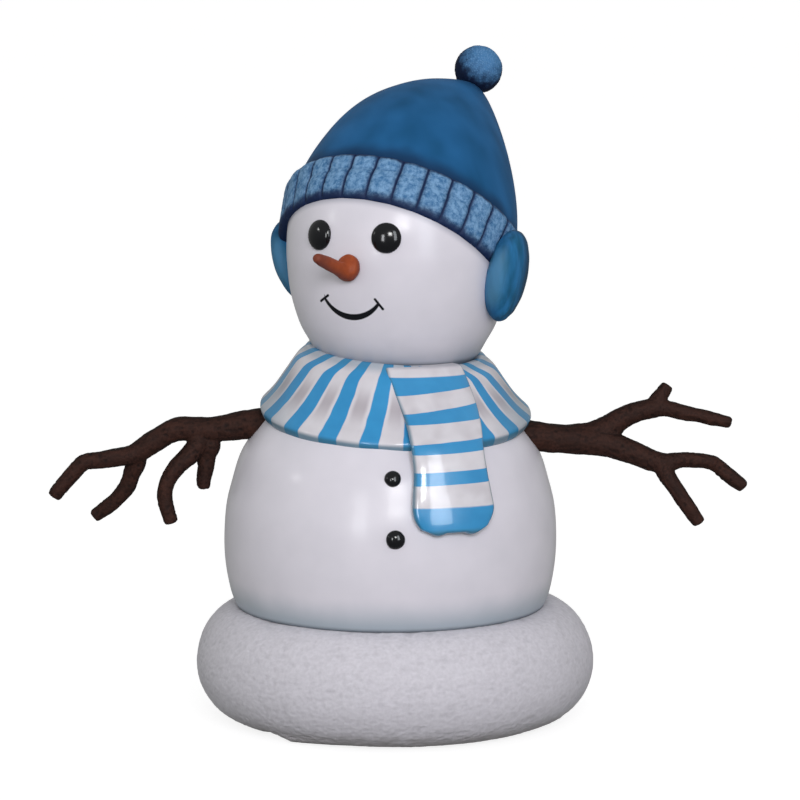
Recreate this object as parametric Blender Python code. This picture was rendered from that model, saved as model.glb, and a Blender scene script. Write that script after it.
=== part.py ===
"""A moulded and painted snowman display figure on a round drift of snow.

Metres, +Z up. The origin is the centre of the drift's flat underside. The figure's front faces -Y, and
"left" and "right" in the names are those of someone who stands in front of it.
"""
import math

import bmesh
import bpy
from mathutils import Matrix, Vector

# Gap that is kept between pieces that touch
GAP = 0.0003

# Faces around every turned piece, and the height step over which an outline's slope is read
TURNED_STEPS = 40
SLOPE_STEP = 0.004

# Drift of snow under the figure
BASE_RADIUS = 0.357
BASE_WIDEST_Z = 0.097
BASE_TOP_Z = 0.203
BASE_FOOT_RADIUS = 0.262
BASE_SEAT_RADIUS = 0.272
BASE_ARC_STEPS = 5

# Egg-shaped body, as heights and radii of its turned outline
BODY_X = -0.0085
BODY_TOP_Z = 0.622
BODY_OUTLINE = [
    (0.2770, BASE_TOP_Z + GAP),
    (0.2870, 0.229),
    (0.2955, 0.275),
    (0.2980, 0.323),
    (0.2946, 0.3815),
    (0.2844, 0.4252),
    (0.2685, 0.475),
    (0.2440, 0.513),
    (0.2080, 0.555),
    (0.1550, 0.597),
    (0.1180, BODY_TOP_Z),
]

# Head, turned about its own upright axis, with the face looking towards FACE_TURN
HEAD_X = 0.0055
HEAD_OUTLINE = [
    (0.1120, BODY_TOP_Z + GAP),
    (0.1400, 0.650),
    (0.1585, 0.680),
    (0.1760, 0.713),
    (0.1915, 0.766),
    (0.1975, 0.815),
    (0.1985, 0.855),
    (0.1935, 0.900),
    (0.1765, 0.950),
    (0.1450, 0.995),
    (0.0900, 1.030),
]
FACE_TURN = math.radians(25.0)
EYE_TURN = math.radians(19.0)
EYE_Z = 0.8810
EYE_RADIUS = 0.0262
EYE_TALL = 1.02
EYE_DEPTH = 0.0115
EYE_MESH = (18, 10)

# Carrot nose: a ball-like shoulder and a stem, as distance along it and girth, both in ball radii, and the
# share of its sag
NOSE_TURN = math.radians(25.0)
NOSE_Z = 0.828
NOSE_BALL = 0.0225
NOSE_LENGTH = 0.092
NOSE_SAG = 0.0065
NOSE_LIFT = 0.006
NOSE_TALL = 1.06
NOSE_SIDES = 12
NOSE_POINTS = Vector((-0.60, -0.76, 0.27)).normalized()
NOSE_STATIONS = [
    (-0.55, 0.55, 0.0),
    (-0.35, 0.86, 0.0),
    (-0.05, 1.00, 0.0),
    (0.25, 0.96, 0.0),
    (0.48, 0.80, 0.5),
    (0.72, 0.62, 1.0),
    (1.20, 0.53, 0.9),
    (2.20, 0.50, 0.5),
    (3.20, 0.43, 0.1),
    (3.65, 0.37, 0.0),
    (3.85, 0.27, 0.0),
]

# Buttons, as turn from the front, height and radius
BUTTONS = {
    "button_upper": (math.radians(1.0), 0.4720, 0.0145),
    "button_lower": (math.radians(1.8), 0.3700, 0.0165),
}
BUTTON_DEPTH = 0.010
BUTTON_MESH = (14, 8)

# Hat: its rim circle lies in a plane that is tipped back, and the dome's side is a superellipse whose upper
# end leans over
HAT_CENTRE = Vector((-0.0052, -0.0018, 0.8188))
HAT_TILT = math.radians(37.9)
HAT_TURN = math.radians(28.1)
CROWN_RADIUS = 0.2110
CROWN_FOOT_RADIUS = 0.1925
CROWN_FLARE = 0.055
CROWN_HEIGHT = 0.396
CROWN_POWERS = (2.31, 1.32)
CROWN_SHARES = (0.0, 0.20, 0.33, 0.46, 0.58, 0.69, 0.79, 0.87, 0.93, 0.97, 0.997)
CROWN_BULGE_LEFT = 0.0389
CROWN_TIP_RIGHT = 0.0745
CUFF_WIDTH = 0.087
CUFF_INSIDE = 0.0035
CUFF_RIM_RADIUS = 0.2065
CUFF_TOP_RADIUS = 0.2195
CUFF_OUTLINE = [
    (0.00, CUFF_RIM_RADIUS - 0.0085),
    (0.05, CUFF_RIM_RADIUS),
    (0.50, 0.5 * (CUFF_RIM_RADIUS + CUFF_TOP_RADIUS) + 0.005),
    (0.92, CUFF_TOP_RADIUS),
    (1.00, CUFF_TOP_RADIUS - 0.009),
]
CUFF_RIBS = 30
CUFF_GROOVE = 0.0055
CUFF_GROOVE_TURN = math.radians(1.3)
POMPOM_RADIUS = 0.0435
POMPOM_CENTRE = Vector((0.1525, 0.225, 1.1480))

# Ear flaps: oval pads on the two sides of the head, as side, distance from the head's axis, height, half
# length and how far the lower end turns in under the head
FLAPS = {
    "ear_flap_left": (-1, 0.204, 0.810, 0.077, math.radians(20.0)),
    "ear_flap_right": (1, 0.2110, 0.8040, 0.0825, math.radians(11.0)),
}
FLAP_THICK = 0.030
FLAP_WIDE = 0.062
FLAP_MESH = (18, 10)

# Scarf collar: outer outline as radius and share of the way down from neck to rim, and inner outline as
# share and clearance to body and head
COLLAR_X = 0.001
COLLAR_OUTLINE = [
    (0.1655, 0.06),
    (0.1785, 0.18),
    (0.1960, 0.43),
    (0.2145, 0.69),
    (0.2285, 0.85),
    (0.2415, 0.98),
    (0.2415, 1.07),
    (0.2340, 1.16),
]
COLLAR_NECK = (0.660, -0.010, -0.011)
COLLAR_RIM = (0.5560, -0.0285, -0.0086)
COLLAR_INSIDE = [
    (1.12, 0.0020),
    (0.92, 0.0045),
    (0.70, 0.0055),
    (0.40, 0.0055),
    (0.12, 0.0030),
    (0.00, 0.0015),
]
COLLAR_STEPS = 40

# Scarf tail, as height, turns of its left and right edges and radius of its outer face. Its long edges and
# its ends are thinner by a share of its thickness, its back reaches in far enough for what is behind it to
# shape it, and its hanging end has two lobes
TAIL_THICKNESS = 0.017
TAIL_EDGE = 0.38
TAIL_END = 0.25
TAIL_BACK = 0.006
TAIL_ROWS = [
    (0.6520, -6.5, 45.5, 0.1690),
    (0.6360, -4.4, 45.6, 0.1800),
    (0.6120, -1.0, 45.4, 0.1950),
    (0.5860, 2.4, 44.2, 0.2130),
    (0.5600, 4.8, 40.6, 0.2380),
    (0.5340, 5.8, 36.4, 0.2660),
    (0.5060, 6.4, 34.9, 0.2810),
    (0.4770, 6.6, 34.6, 0.2920),
    (0.4440, 6.0, 34.7, 0.3030),
    (0.4180, 5.8, 34.9, 0.3090),
    (0.3990, 6.6, 33.5, 0.3120),
    (0.3855, 8.6, 31.2, 0.3135),
]
TAIL_LOBE = 0.0050
TAIL_LOBE_FROM = 0.72
TAIL_COLUMNS = 8

# Arms, as points along each stick with its radius there; the first point is inside what carries it
ARMS = {
    "arm_left_limb": [
        (-0.2150, 0.0, 0.5290, 0.0270),
        (-0.2600, 0.0, 0.5265, 0.0255),
        (-0.3068, 0.0, 0.5195, 0.0225),
        (-0.3460, 0.0, 0.5165, 0.0215),
        (-0.3890, 0.0, 0.5175, 0.0205),
        (-0.4277, 0.0, 0.4980, 0.0195),
        (-0.4640, 0.0, 0.4740, 0.0185),
    ],
    "arm_left_outer_twig": [
        (-0.4560, -0.002, 0.4775, 0.0100),
        (-0.4700, -0.005, 0.4725, 0.0160),
        (-0.4800, -0.006, 0.4700, 0.0165),
        (-0.5269, -0.010, 0.4640, 0.0145),
        (-0.5571, -0.012, 0.4583, 0.0140),
        (-0.5794, -0.014, 0.4361, 0.0135),
        (-0.6016, -0.016, 0.4108, 0.0130),
        (-0.6110, -0.016, 0.3975, 0.0115),
    ],
    "arm_left_inner_twig": [
        (-0.4560, 0.004, 0.4780, 0.0120),
        (-0.4640, 0.007, 0.4560, 0.0160),
        (-0.4723, 0.010, 0.4361, 0.0150),
        (-0.4835, 0.014, 0.4081, 0.0140),
        (-0.5057, 0.018, 0.3833, 0.0130),
        (-0.5280, 0.020, 0.3663, 0.0120),
        (-0.5432, 0.020, 0.3550, 0.0105),
    ],
    "arm_left_drop_twig": [
        (-0.3460, -0.006, 0.5080, 0.0120),
        (-0.3540, -0.010, 0.4900, 0.0175),
        (-0.3680, -0.016, 0.4720, 0.0165),
        (-0.3896, -0.024, 0.4526, 0.0150),
        (-0.4063, -0.028, 0.4275, 0.0130),
        (-0.4121, -0.030, 0.4024, 0.0125),
        (-0.4068, -0.030, 0.3745, 0.0125),
        (-0.4000, -0.030, 0.3530, 0.0110),
    ],
    "arm_left_spur": [
        (-0.3280, 0.002, 0.5080, 0.0120),
        (-0.3310, 0.002, 0.4910, 0.0185),
        (-0.3375, 0.003, 0.4700, 0.0160),
        (-0.3400, 0.003, 0.4480, 0.0140),
        (-0.3435, 0.003, 0.4250, 0.0125),
        (-0.3435, 0.003, 0.4090, 0.0100),
    ],
    "arm_right_limb": [
        (0.2050, 0.0, 0.5080, 0.0270),
        (0.2500, 0.0, 0.5050, 0.0260),
        (0.2917, 0.0, 0.5004, 0.0245),
        (0.3345, 0.0, 0.4989, 0.0250),
        (0.3800, 0.0, 0.4985, 0.0250),
    ],
    "arm_right_upper_branch": [
        (0.3680, 0.004, 0.5040, 0.0140),
        (0.3880, 0.006, 0.5230, 0.0210),
        (0.4057, 0.008, 0.5351, 0.0190),
        (0.4343, 0.010, 0.5480, 0.0175),
        (0.4720, 0.012, 0.5560, 0.0170),
    ],
    "arm_right_stub": [
        (0.4640, 0.012, 0.5560, 0.0090),
        (0.4690, 0.0135, 0.5655, 0.0140),
        (0.4768, 0.016, 0.5755, 0.0130),
        (0.4890, 0.020, 0.5940, 0.0105),
    ],
    "arm_right_upper_twig": [
        (0.4640, 0.012, 0.5555, 0.0090),
        (0.4770, 0.011, 0.5545, 0.0142),
        (0.4950, 0.008, 0.5515, 0.0135),
        (0.5256, 0.004, 0.5453, 0.0125),
        (0.5627, 0.000, 0.5380, 0.0115),
        (0.6010, -0.004, 0.5300, 0.0095),
    ],
    "arm_right_lower_branch": [
        (0.3680, -0.004, 0.4960, 0.0140),
        (0.3920, -0.007, 0.4885, 0.0220),
        (0.4206, -0.010, 0.4790, 0.0200),
        (0.4578, -0.014, 0.4640, 0.0185),
        (0.4850, -0.016, 0.4570, 0.0175),
    ],
    "arm_right_long_twig": [
        (0.4760, -0.016, 0.4590, 0.0090),
        (0.4900, -0.015, 0.4605, 0.0150),
        (0.5150, -0.012, 0.4640, 0.0135),
        (0.5560, -0.008, 0.4610, 0.0125),
        (0.5760, -0.006, 0.4530, 0.0125),
        (0.6030, -0.004, 0.4310, 0.0125),
        (0.6260, -0.002, 0.4130, 0.0105),
    ],
    "arm_right_drop_twig": [
        (0.4740, -0.018, 0.4560, 0.0110),
        (0.4830, -0.023, 0.4430, 0.0150),
        (0.4860, -0.026, 0.4370, 0.0145),
        (0.5010, -0.032, 0.4150, 0.0135),
        (0.5230, -0.038, 0.3840, 0.0130),
        (0.5440, -0.040, 0.3540, 0.0110),
    ],
}
CARRIED_BY = {
    "arm_left_limb": ["body", "scarf_collar"],
    "arm_left_outer_twig": ["arm_left_limb"],
    "arm_left_inner_twig": ["arm_left_limb", "arm_left_outer_twig"],
    "arm_left_drop_twig": ["arm_left_limb"],
    "arm_left_spur": ["arm_left_limb", "arm_left_drop_twig"],
    "arm_right_limb": ["body", "scarf_collar"],
    "arm_right_upper_branch": ["arm_right_limb"],
    "arm_right_stub": ["arm_right_upper_branch"],
    "arm_right_upper_twig": ["arm_right_upper_branch", "arm_right_stub"],
    "arm_right_lower_branch": ["arm_right_limb", "arm_right_upper_branch"],
    "arm_right_long_twig": ["arm_right_lower_branch"],
    "arm_right_drop_twig": ["arm_right_lower_branch", "arm_right_long_twig"],
}
STICK_SIDES = 8


# Helpers

def linear(value):
    """One sRGB channel, 0 to 1, as linear light."""
    return value / 12.92 if value <= 0.04045 else ((value + 0.055) / 1.055) ** 2.4


def paint(name, colour, roughness):
    """A plain painted finish; colour is sRGB hex."""
    material = bpy.data.materials.new(name)
    material.use_nodes = True
    shader = material.node_tree.nodes["Principled BSDF"]
    rgb = [linear(int(colour[i:i + 2], 16) / 255) for i in (1, 3, 5)]
    shader.inputs["Base Color"].default_value = (*rgb, 1.0)
    shader.inputs["Roughness"].default_value = roughness
    shader.inputs["Metallic"].default_value = 0.0
    material.diffuse_color = (*rgb, 1.0)
    return material


def finish_object(name, bm, material, smooth=True):
    """Puts a bmesh into the scene as a closed object with its faces pointing out."""
    bmesh.ops.recalc_face_normals(bm, faces=bm.faces)
    mesh = bpy.data.meshes.new(name)
    bm.to_mesh(mesh)
    bm.free()
    if smooth:
        mesh.shade_smooth()
        mesh.set_sharp_from_angle(angle=math.radians(45))
    mesh.materials.append(material)
    made = bpy.data.objects.new(name, mesh)
    bpy.context.scene.collection.objects.link(made)
    return made


def through(points, steps):
    """Points on a smooth curve (Catmull-Rom) through the given ones, with steps to each stretch."""
    points = [Vector(p) for p in points]
    ends = [2 * points[0] - points[1]] + points + [2 * points[-1] - points[-2]]
    curve = []
    for before, start, end, after in zip(ends, ends[1:], ends[2:], ends[3:]):
        for i in range(steps):
            t = i / steps
            curve.append(0.5 * (
                2 * start
                + (end - before) * t
                + (2 * before - 5 * start + 4 * end - after) * t ** 2
                + (3 * start - 3 * end + after - before) * t ** 3
            ))
    return curve + [points[-1]]


def radius_at(outline, z):
    """Radius of a turned outline at a height, read from its smooth curve."""
    curve = through([(r, 0.0, h) for r, h in outline], 6)
    for low, high in zip(curve, curve[1:]):
        if low.z <= z <= high.z:
            return low.x + (high.x - low.x) * (z - low.z) / (high.z - low.z)
    return curve[0].x if z < curve[0].z else curve[-1].x


def slope_at(outline, z):
    """How fast a turned outline widens with height."""
    wider = radius_at(outline, z + SLOPE_STEP) - radius_at(outline, z - SLOPE_STEP)
    return wider / (2 * SLOPE_STEP)


def skin(rings, loop_closed=False):
    """A bmesh over closed rings of points; caps its ends unless the rings close into a loop."""
    bm = bmesh.new()
    rows = [[bm.verts.new(p) for p in ring] for ring in rings]
    following = rows[1:] + rows[:1] if loop_closed else rows[1:]
    for here, there in zip(rows, following):
        for i in range(len(here)):
            j = (i + 1) % len(here)
            bm.faces.new((here[i], here[j], there[j], there[i]))
    if not loop_closed:
        bm.faces.new(rows[0])
        bm.faces.new(rows[-1])
    bmesh.ops.triangulate(bm, faces=bm.faces, quad_method="FIXED")
    return bm


def turned(profile, centre_x, grow=0.0):
    """A solid turned about an upright axis from (radius, height) pairs, low to high, with flat ends."""
    rings = []
    for radius, z in profile:
        ring = []
        for i in range(TURNED_STEPS):
            turn = 2 * math.pi * i / TURNED_STEPS
            ring.append(Vector((
                centre_x + (radius + grow) * math.sin(turn),
                -(radius + grow) * math.cos(turn),
                z,
            )))
        rings.append(ring)
    return skin(rings)


def make_cutter(name, bm):
    """A hidden tool shape that trims its neighbours."""
    cutter = finish_object(name, bm, MATERIALS["tool"], smooth=False)
    cutter.hide_render = True
    cutter.display_type = "WIRE"
    return cutter


def trim(made, cutter):
    cut = made.modifiers.new("trim_" + cutter.name, "BOOLEAN")
    cut.operation = "DIFFERENCE"
    cut.solver = "EXACT"
    cut.object = cutter


def ellipsoid(radii, centre, rotation, columns, rows):
    """A squashed ball with its own axes turned by rotation."""
    bm = bmesh.new()
    bmesh.ops.create_uvsphere(bm, u_segments=columns, v_segments=rows, radius=1.0)
    place = Matrix.Translation(centre) @ rotation.to_4x4() @ Matrix.Diagonal((*radii, 1.0))
    bmesh.ops.transform(bm, matrix=place, verts=bm.verts)
    return bm


def axes_towards(normal, up=Vector((0.0, 0.0, 1.0))):
    """A rotation whose third axis is normal and whose second leans towards up."""
    across = up.cross(normal).normalized()
    return Matrix((across, normal.cross(across), normal)).transposed()


# Shapes that carry others

def hat_axes():
    """Right, back and up directions of the tipped hat."""
    lean = math.sin(HAT_TILT)
    up = Vector((lean * math.sin(HAT_TURN), lean * math.cos(HAT_TURN), math.cos(HAT_TILT)))
    right = Vector((0.0, 1.0, 0.0)).cross(up).normalized()
    return right, up.cross(right), up


def on_hat(turn, radius, height, lean=0.0):
    """A point in the hat's tipped frame; turn 0 is the front."""
    right, back, up = hat_axes()
    across = right * (lean + radius * math.sin(turn))
    return HAT_CENTRE + up * height + across - back * radius * math.cos(turn)


def head_bmesh(grow=0.0):
    """The snow head, cut off where the hat's rim plane crosses it."""
    bm = turned(HEAD_OUTLINE, HEAD_X, grow)
    if grow:
        return bm
    up = hat_axes()[2]
    geometry = bm.verts[:] + bm.edges[:] + bm.faces[:]
    bmesh.ops.bisect_plane(
        bm, geom=geometry, plane_co=HAT_CENTRE - up * GAP, plane_no=up, clear_outer=True, dist=1e-6
    )
    rim = [edge for edge in bm.edges if edge.is_boundary]
    bmesh.ops.edgeloop_fill(bm, edges=rim)
    return bm


def body_bmesh(grow=0.0):
    return turned(BODY_OUTLINE, BODY_X, grow)


# Drift, body and head

def make_base():
    """Squashed round drift: two quarter ovals between a flat underside and a flat seat."""
    quarter = [math.pi / 2 * i / BASE_ARC_STEPS for i in range(BASE_ARC_STEPS + 1)]
    profile = []
    for turn in quarter:
        profile.append((
            BASE_FOOT_RADIUS + (BASE_RADIUS - BASE_FOOT_RADIUS) * math.sin(turn),
            BASE_WIDEST_Z * (1 - math.cos(turn)),
        ))
    for turn in quarter[1:]:
        profile.append((
            BASE_SEAT_RADIUS + (BASE_RADIUS - BASE_SEAT_RADIUS) * math.cos(turn),
            BASE_WIDEST_Z + (BASE_TOP_Z - BASE_WIDEST_Z) * math.sin(turn),
        ))
    finish_object("snow_base", turned(profile, 0.0), MATERIALS["snow_stipple"])


def make_body_and_head():
    finish_object("body", body_bmesh(), MATERIALS["snow_gloss"])
    finish_object("head", head_bmesh(), MATERIALS["snow_gloss"])


# Face and buttons

def head_spot(turn, z):
    """Point and outward direction on the head; turn runs from the front towards the viewer's left."""
    radius = radius_at(HEAD_OUTLINE, z)
    outward = Vector((-math.sin(turn), -math.cos(turn), -slope_at(HEAD_OUTLINE, z))).normalized()
    point = Vector((HEAD_X - radius * math.sin(turn), -radius * math.cos(turn), z))
    return point, outward


def make_eyes(head_clearance):
    for name, side in (("eye_left", 1), ("eye_right", -1)):
        point, outward = head_spot(FACE_TURN + side * EYE_TURN, EYE_Z)
        radii = (EYE_RADIUS, EYE_RADIUS * EYE_TALL, EYE_DEPTH)
        bm = ellipsoid(radii, point, axes_towards(outward), *EYE_MESH)
        trim(finish_object(name, bm, MATERIALS["black_gloss"]), head_clearance)


def make_nose(head_clearance):
    """A carrot: a round shoulder on the face and a tapering stem with a blunt tip."""
    foot, outward = head_spot(NOSE_TURN, NOSE_Z)
    stretch = NOSE_LENGTH / (NOSE_STATIONS[-1][0] * NOSE_BALL)
    basis = axes_towards(NOSE_POINTS)
    rings = []
    for along, girth, sag in NOSE_STATIONS:
        reach = along * NOSE_BALL * (stretch if along > 0 else 1.0)
        centre = foot + outward * NOSE_LIFT + NOSE_POINTS * reach - Vector((0.0, 0.0, NOSE_SAG * sag))
        ring = []
        for i in range(NOSE_SIDES):
            turn = 2 * math.pi * i / NOSE_SIDES
            around = basis @ Vector((math.cos(turn), NOSE_TALL * math.sin(turn), 0.0))
            ring.append(centre + around * girth * NOSE_BALL)
        rings.append(ring)
    trim(finish_object("nose", skin(rings), MATERIALS["carrot"]), head_clearance)


def make_buttons(body_clearance):
    for name, (turn, z, radius) in BUTTONS.items():
        reach = radius_at(BODY_OUTLINE, z)
        outward = Vector((math.sin(turn), -math.cos(turn), -slope_at(BODY_OUTLINE, z))).normalized()
        point = Vector((BODY_X + reach * math.sin(turn), -reach * math.cos(turn), z))
        bm = ellipsoid((radius, radius, BUTTON_DEPTH), point, axes_towards(outward), *BUTTON_MESH)
        trim(finish_object(name, bm, MATERIALS["black_gloss"]), body_clearance)


# Hat

def make_crown():
    """The hat's dome, standing on the rim plane and leaning over towards its pompom."""
    rings = []
    along, around = CROWN_POWERS
    for share in CROWN_SHARES:
        dome = CROWN_RADIUS * (1 - share ** along) ** (1 / around)
        radius = min(dome, CROWN_FOOT_RADIUS + CROWN_FLARE * share)
        lean = CROWN_TIP_RIGHT * share ** 5 - CROWN_BULGE_LEFT * share ** 2
        ring = []
        for i in range(TURNED_STEPS):
            turn = 2 * math.pi * i / TURNED_STEPS
            ring.append(on_hat(turn, radius, CROWN_HEIGHT * share, lean))
        rings.append(ring)
    return finish_object("hat_crown", skin(rings), MATERIALS["hat_blue"])


def cuff_bmesh():
    """The turned-up cuff: a bulging band around the crown, with grooves between its ribs."""
    rings = []
    for rib in range(CUFF_RIBS):
        start = 2 * math.pi * rib / CUFF_RIBS
        end = 2 * math.pi * (rib + 1) / CUFF_RIBS
        columns = [(start, CUFF_GROOVE), (start + CUFF_GROOVE_TURN, 0.0), (end - CUFF_GROOVE_TURN, 0.0)]
        for turn, groove in columns:
            ring = []
            for share, radius in CUFF_OUTLINE:
                depth = groove if 0.0 < share < 1.0 else 0.0
                ring.append(on_hat(turn, radius - depth, CUFF_WIDTH * share))
            for share in (1.0, 0.0):
                inner = CROWN_FOOT_RADIUS + CROWN_FLARE * share * CUFF_WIDTH / CROWN_HEIGHT + CUFF_INSIDE
                ring.append(on_hat(turn, inner, CUFF_WIDTH * share))
            rings.append(ring)
    return skin(rings, loop_closed=True)


def cuff_tool():
    """The cuff's outer form, grown a little and filled in, which hollows the ear flaps."""
    steps = 2 * CUFF_RIBS
    rings = []
    for share, radius in CUFF_OUTLINE:
        height = -2 * GAP + (CUFF_WIDTH + 4 * GAP) * share
        turns = [2 * math.pi * i / steps for i in range(steps)]
        rings.append([on_hat(turn, radius + 2 * GAP, height) for turn in turns])
    return skin(rings)


def make_pompom(crown):
    bm = bmesh.new()
    bmesh.ops.create_icosphere(bm, subdivisions=3, radius=POMPOM_RADIUS)
    bmesh.ops.translate(bm, verts=bm.verts, vec=POMPOM_CENTRE)
    pompom = finish_object("pompom", bm, MATERIALS["hat_blue"])
    trim(crown, make_cutter("pompom_clearance", pompom_tool()))
    return pompom


def pompom_tool():
    bm = bmesh.new()
    bmesh.ops.create_icosphere(bm, subdivisions=3, radius=POMPOM_RADIUS + GAP)
    bmesh.ops.translate(bm, verts=bm.verts, vec=POMPOM_CENTRE)
    return bm


def make_flaps(cutters):
    """Oval ear pads over the cuff's lower edge, hollowed to sit on the head and the cuff."""
    for name, (side, reach, z, tall, tip) in FLAPS.items():
        level = Vector((side * math.cos(FACE_TURN), -side * math.sin(FACE_TURN), 0.0))
        outward = level * math.cos(tip) - Vector((0.0, 0.0, math.sin(tip)))
        centre = Vector((HEAD_X, 0.0, z)) + level * reach
        radii = (FLAP_WIDE, tall, FLAP_THICK)
        bm = ellipsoid(radii, centre, axes_towards(outward), *FLAP_MESH)
        flap = finish_object(name, bm, MATERIALS["hat_blue"])
        for cutter in cutters:
            trim(flap, cutter)


# Scarf

def collar_height(level, turn):
    middle, front, side = level
    return middle + front * math.cos(turn) + side * math.sin(turn)


def collar_point(turn, radius, share):
    """A point of the collar; share runs from the neck edge (0) to the rim (1)."""
    top = collar_height(COLLAR_NECK, turn)
    rim = collar_height(COLLAR_RIM, turn)
    z = top + (rim - top) * share
    return Vector((COLLAR_X + radius * math.sin(turn), -radius * math.cos(turn), z))


def collar_lift(share, grow):
    """How far a grown collar's point is raised: up at the neck edge, down under the rim."""
    if share > 1:
        return Vector((0.0, 0.0, -grow))
    return Vector((0.0, 0.0, grow if share < 0.1 else 0.0))


def clear_of_core(turn, z, clearance):
    """Distance from the collar's axis that just clears body and head at that turn and height."""
    body = radius_at(BODY_OUTLINE, z) if z < BODY_TOP_Z else 0.0
    head = radius_at(HEAD_OUTLINE, z) if z > BODY_TOP_Z else 0.0
    from_body = body + (BODY_X - COLLAR_X) * math.sin(turn)
    from_head = head + (HEAD_X - COLLAR_X) * math.sin(turn)
    return max(from_body, from_head) + clearance


def collar_bmesh(grow=0.0):
    """The striped collar as upright sections set around the neck."""
    rings = []
    for i in range(COLLAR_STEPS):
        turn = 2 * math.pi * i / COLLAR_STEPS
        outer = [collar_point(turn, r + grow, s) + collar_lift(s, grow) for r, s in COLLAR_OUTLINE]
        inner = []
        for share, clearance in COLLAR_INSIDE:
            level = collar_point(turn, 1.0, share).z
            reach = clear_of_core(turn, level, clearance - grow)
            inner.append(collar_point(turn, reach, share) + collar_lift(share, grow))
        rings.append(outer + inner)
    return skin(rings, loop_closed=True)


def make_tail(cutters):
    """The hanging scarf end: a thick band with rounded edges and a two-lobed lower end."""
    rings = []
    last = len(TAIL_ROWS) - 1
    for k, (z, left, right, reach) in enumerate(TAIL_ROWS):
        front = []
        back = []
        past = max(0.0, k / last - TAIL_LOBE_FROM) / (1 - TAIL_LOBE_FROM)
        end = 1 - TAIL_END if k in (0, last) else 1.0
        for i in range(TAIL_COLUMNS + 1):
            share = i / TAIL_COLUMNS
            turn = math.radians(left + (right - left) * share)
            height = z + TAIL_LOBE * math.cos(4 * math.pi * share) * past
            edge = 1 - TAIL_EDGE * abs(2 * share - 1) ** 5
            face = reach - TAIL_THICKNESS * (1 - edge * end)
            inside = reach - TAIL_THICKNESS - TAIL_BACK
            front.append(Vector((face * math.sin(turn), -face * math.cos(turn), height)))
            back.append(Vector((inside * math.sin(turn), -inside * math.cos(turn), height)))
        rings.append(front + back[::-1])
    tail = finish_object("scarf_tail", skin(rings), MATERIALS["scarf_blue"])
    for cutter in cutters:
        trim(tail, cutter)


# Arms

def stick_bmesh(points, grow=0.0):
    """A stick whose rings stand square to its path; grow thickens and lengthens it all over."""
    path = [Vector(p[:3]) for p in points]
    girths = [p[3] + grow for p in points]
    rings = []
    for i, (point, girth) in enumerate(zip(path, girths)):
        before = path[max(i - 1, 0)]
        after = path[min(i + 1, len(path) - 1)]
        along = (after - before).normalized()
        basis = axes_towards(along, Vector((0.0, 1.0, 0.0)))
        spot = point
        if i == len(path) - 1:
            spot = point + along * grow
        ring = []
        for k in range(STICK_SIDES):
            turn = 2 * math.pi * k / STICK_SIDES
            ring.append(spot + basis @ Vector((girth * math.cos(turn), girth * math.sin(turn), 0.0)))
        rings.append(ring)
    return skin(rings)


def make_arms(cutters):
    for name, carriers in CARRIED_BY.items():
        stick = finish_object(name, stick_bmesh(ARMS[name]), MATERIALS["bark"])
        for carrier in carriers:
            if carrier not in cutters:
                cutters[carrier] = make_cutter(carrier + "_clearance", stick_bmesh(ARMS[carrier], 2 * GAP))
            trim(stick, cutters[carrier])


for old in list(bpy.data.objects):
    bpy.data.objects.remove(old, do_unlink=True)

MATERIALS = {
    "snow_gloss": paint("snow_gloss", "#DAD9E0", 0.25),
    "snow_stipple": paint("snow_stipple", "#CFCDD4", 0.80),
    "hat_blue": paint("hat_blue", "#2A6496", 0.45),
    "scarf_blue": paint("scarf_blue", "#3F93CB", 0.25),
    "black_gloss": paint("black_gloss", "#0C0D10", 0.10),
    "carrot": paint("carrot", "#A04E2C", 0.45),
    "bark": paint("bark", "#33241E", 0.75),
    "tool": paint("tool", "#808080", 0.50),
}

make_base()
make_body_and_head()
HEAD_CLEARANCE = make_cutter("head_clearance", head_bmesh(2 * GAP))
BODY_CLEARANCE = make_cutter("body_clearance", body_bmesh(2 * GAP))
COLLAR_CLEARANCE = make_cutter("collar_clearance", collar_bmesh(2 * GAP))
CUFF_CLEARANCE = make_cutter("cuff_clearance", cuff_tool())
make_eyes(HEAD_CLEARANCE)
make_nose(HEAD_CLEARANCE)
make_buttons(BODY_CLEARANCE)
CROWN = make_crown()
finish_object("hat_cuff", cuff_bmesh(), MATERIALS["hat_blue"])
make_pompom(CROWN)
make_flaps([HEAD_CLEARANCE, CUFF_CLEARANCE])
finish_object("scarf_collar", collar_bmesh(), MATERIALS["scarf_blue"])
make_tail([HEAD_CLEARANCE, BODY_CLEARANCE, COLLAR_CLEARANCE])
make_arms({"body": BODY_CLEARANCE, "scarf_collar": COLLAR_CLEARANCE})
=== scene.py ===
"""The look of a moulded and painted snowman figure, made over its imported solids.

Metres, +Z up, the figure's front towards -Y. Left and right are those of someone who stands in front of it.
A turn is an angle about an upright axis: 0 is the front, and it grows towards the right.
"""

import math
from functools import partial

import bmesh
import bpy
import numpy as np
from mathutils import Matrix, Vector, kdtree, noise


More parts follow.
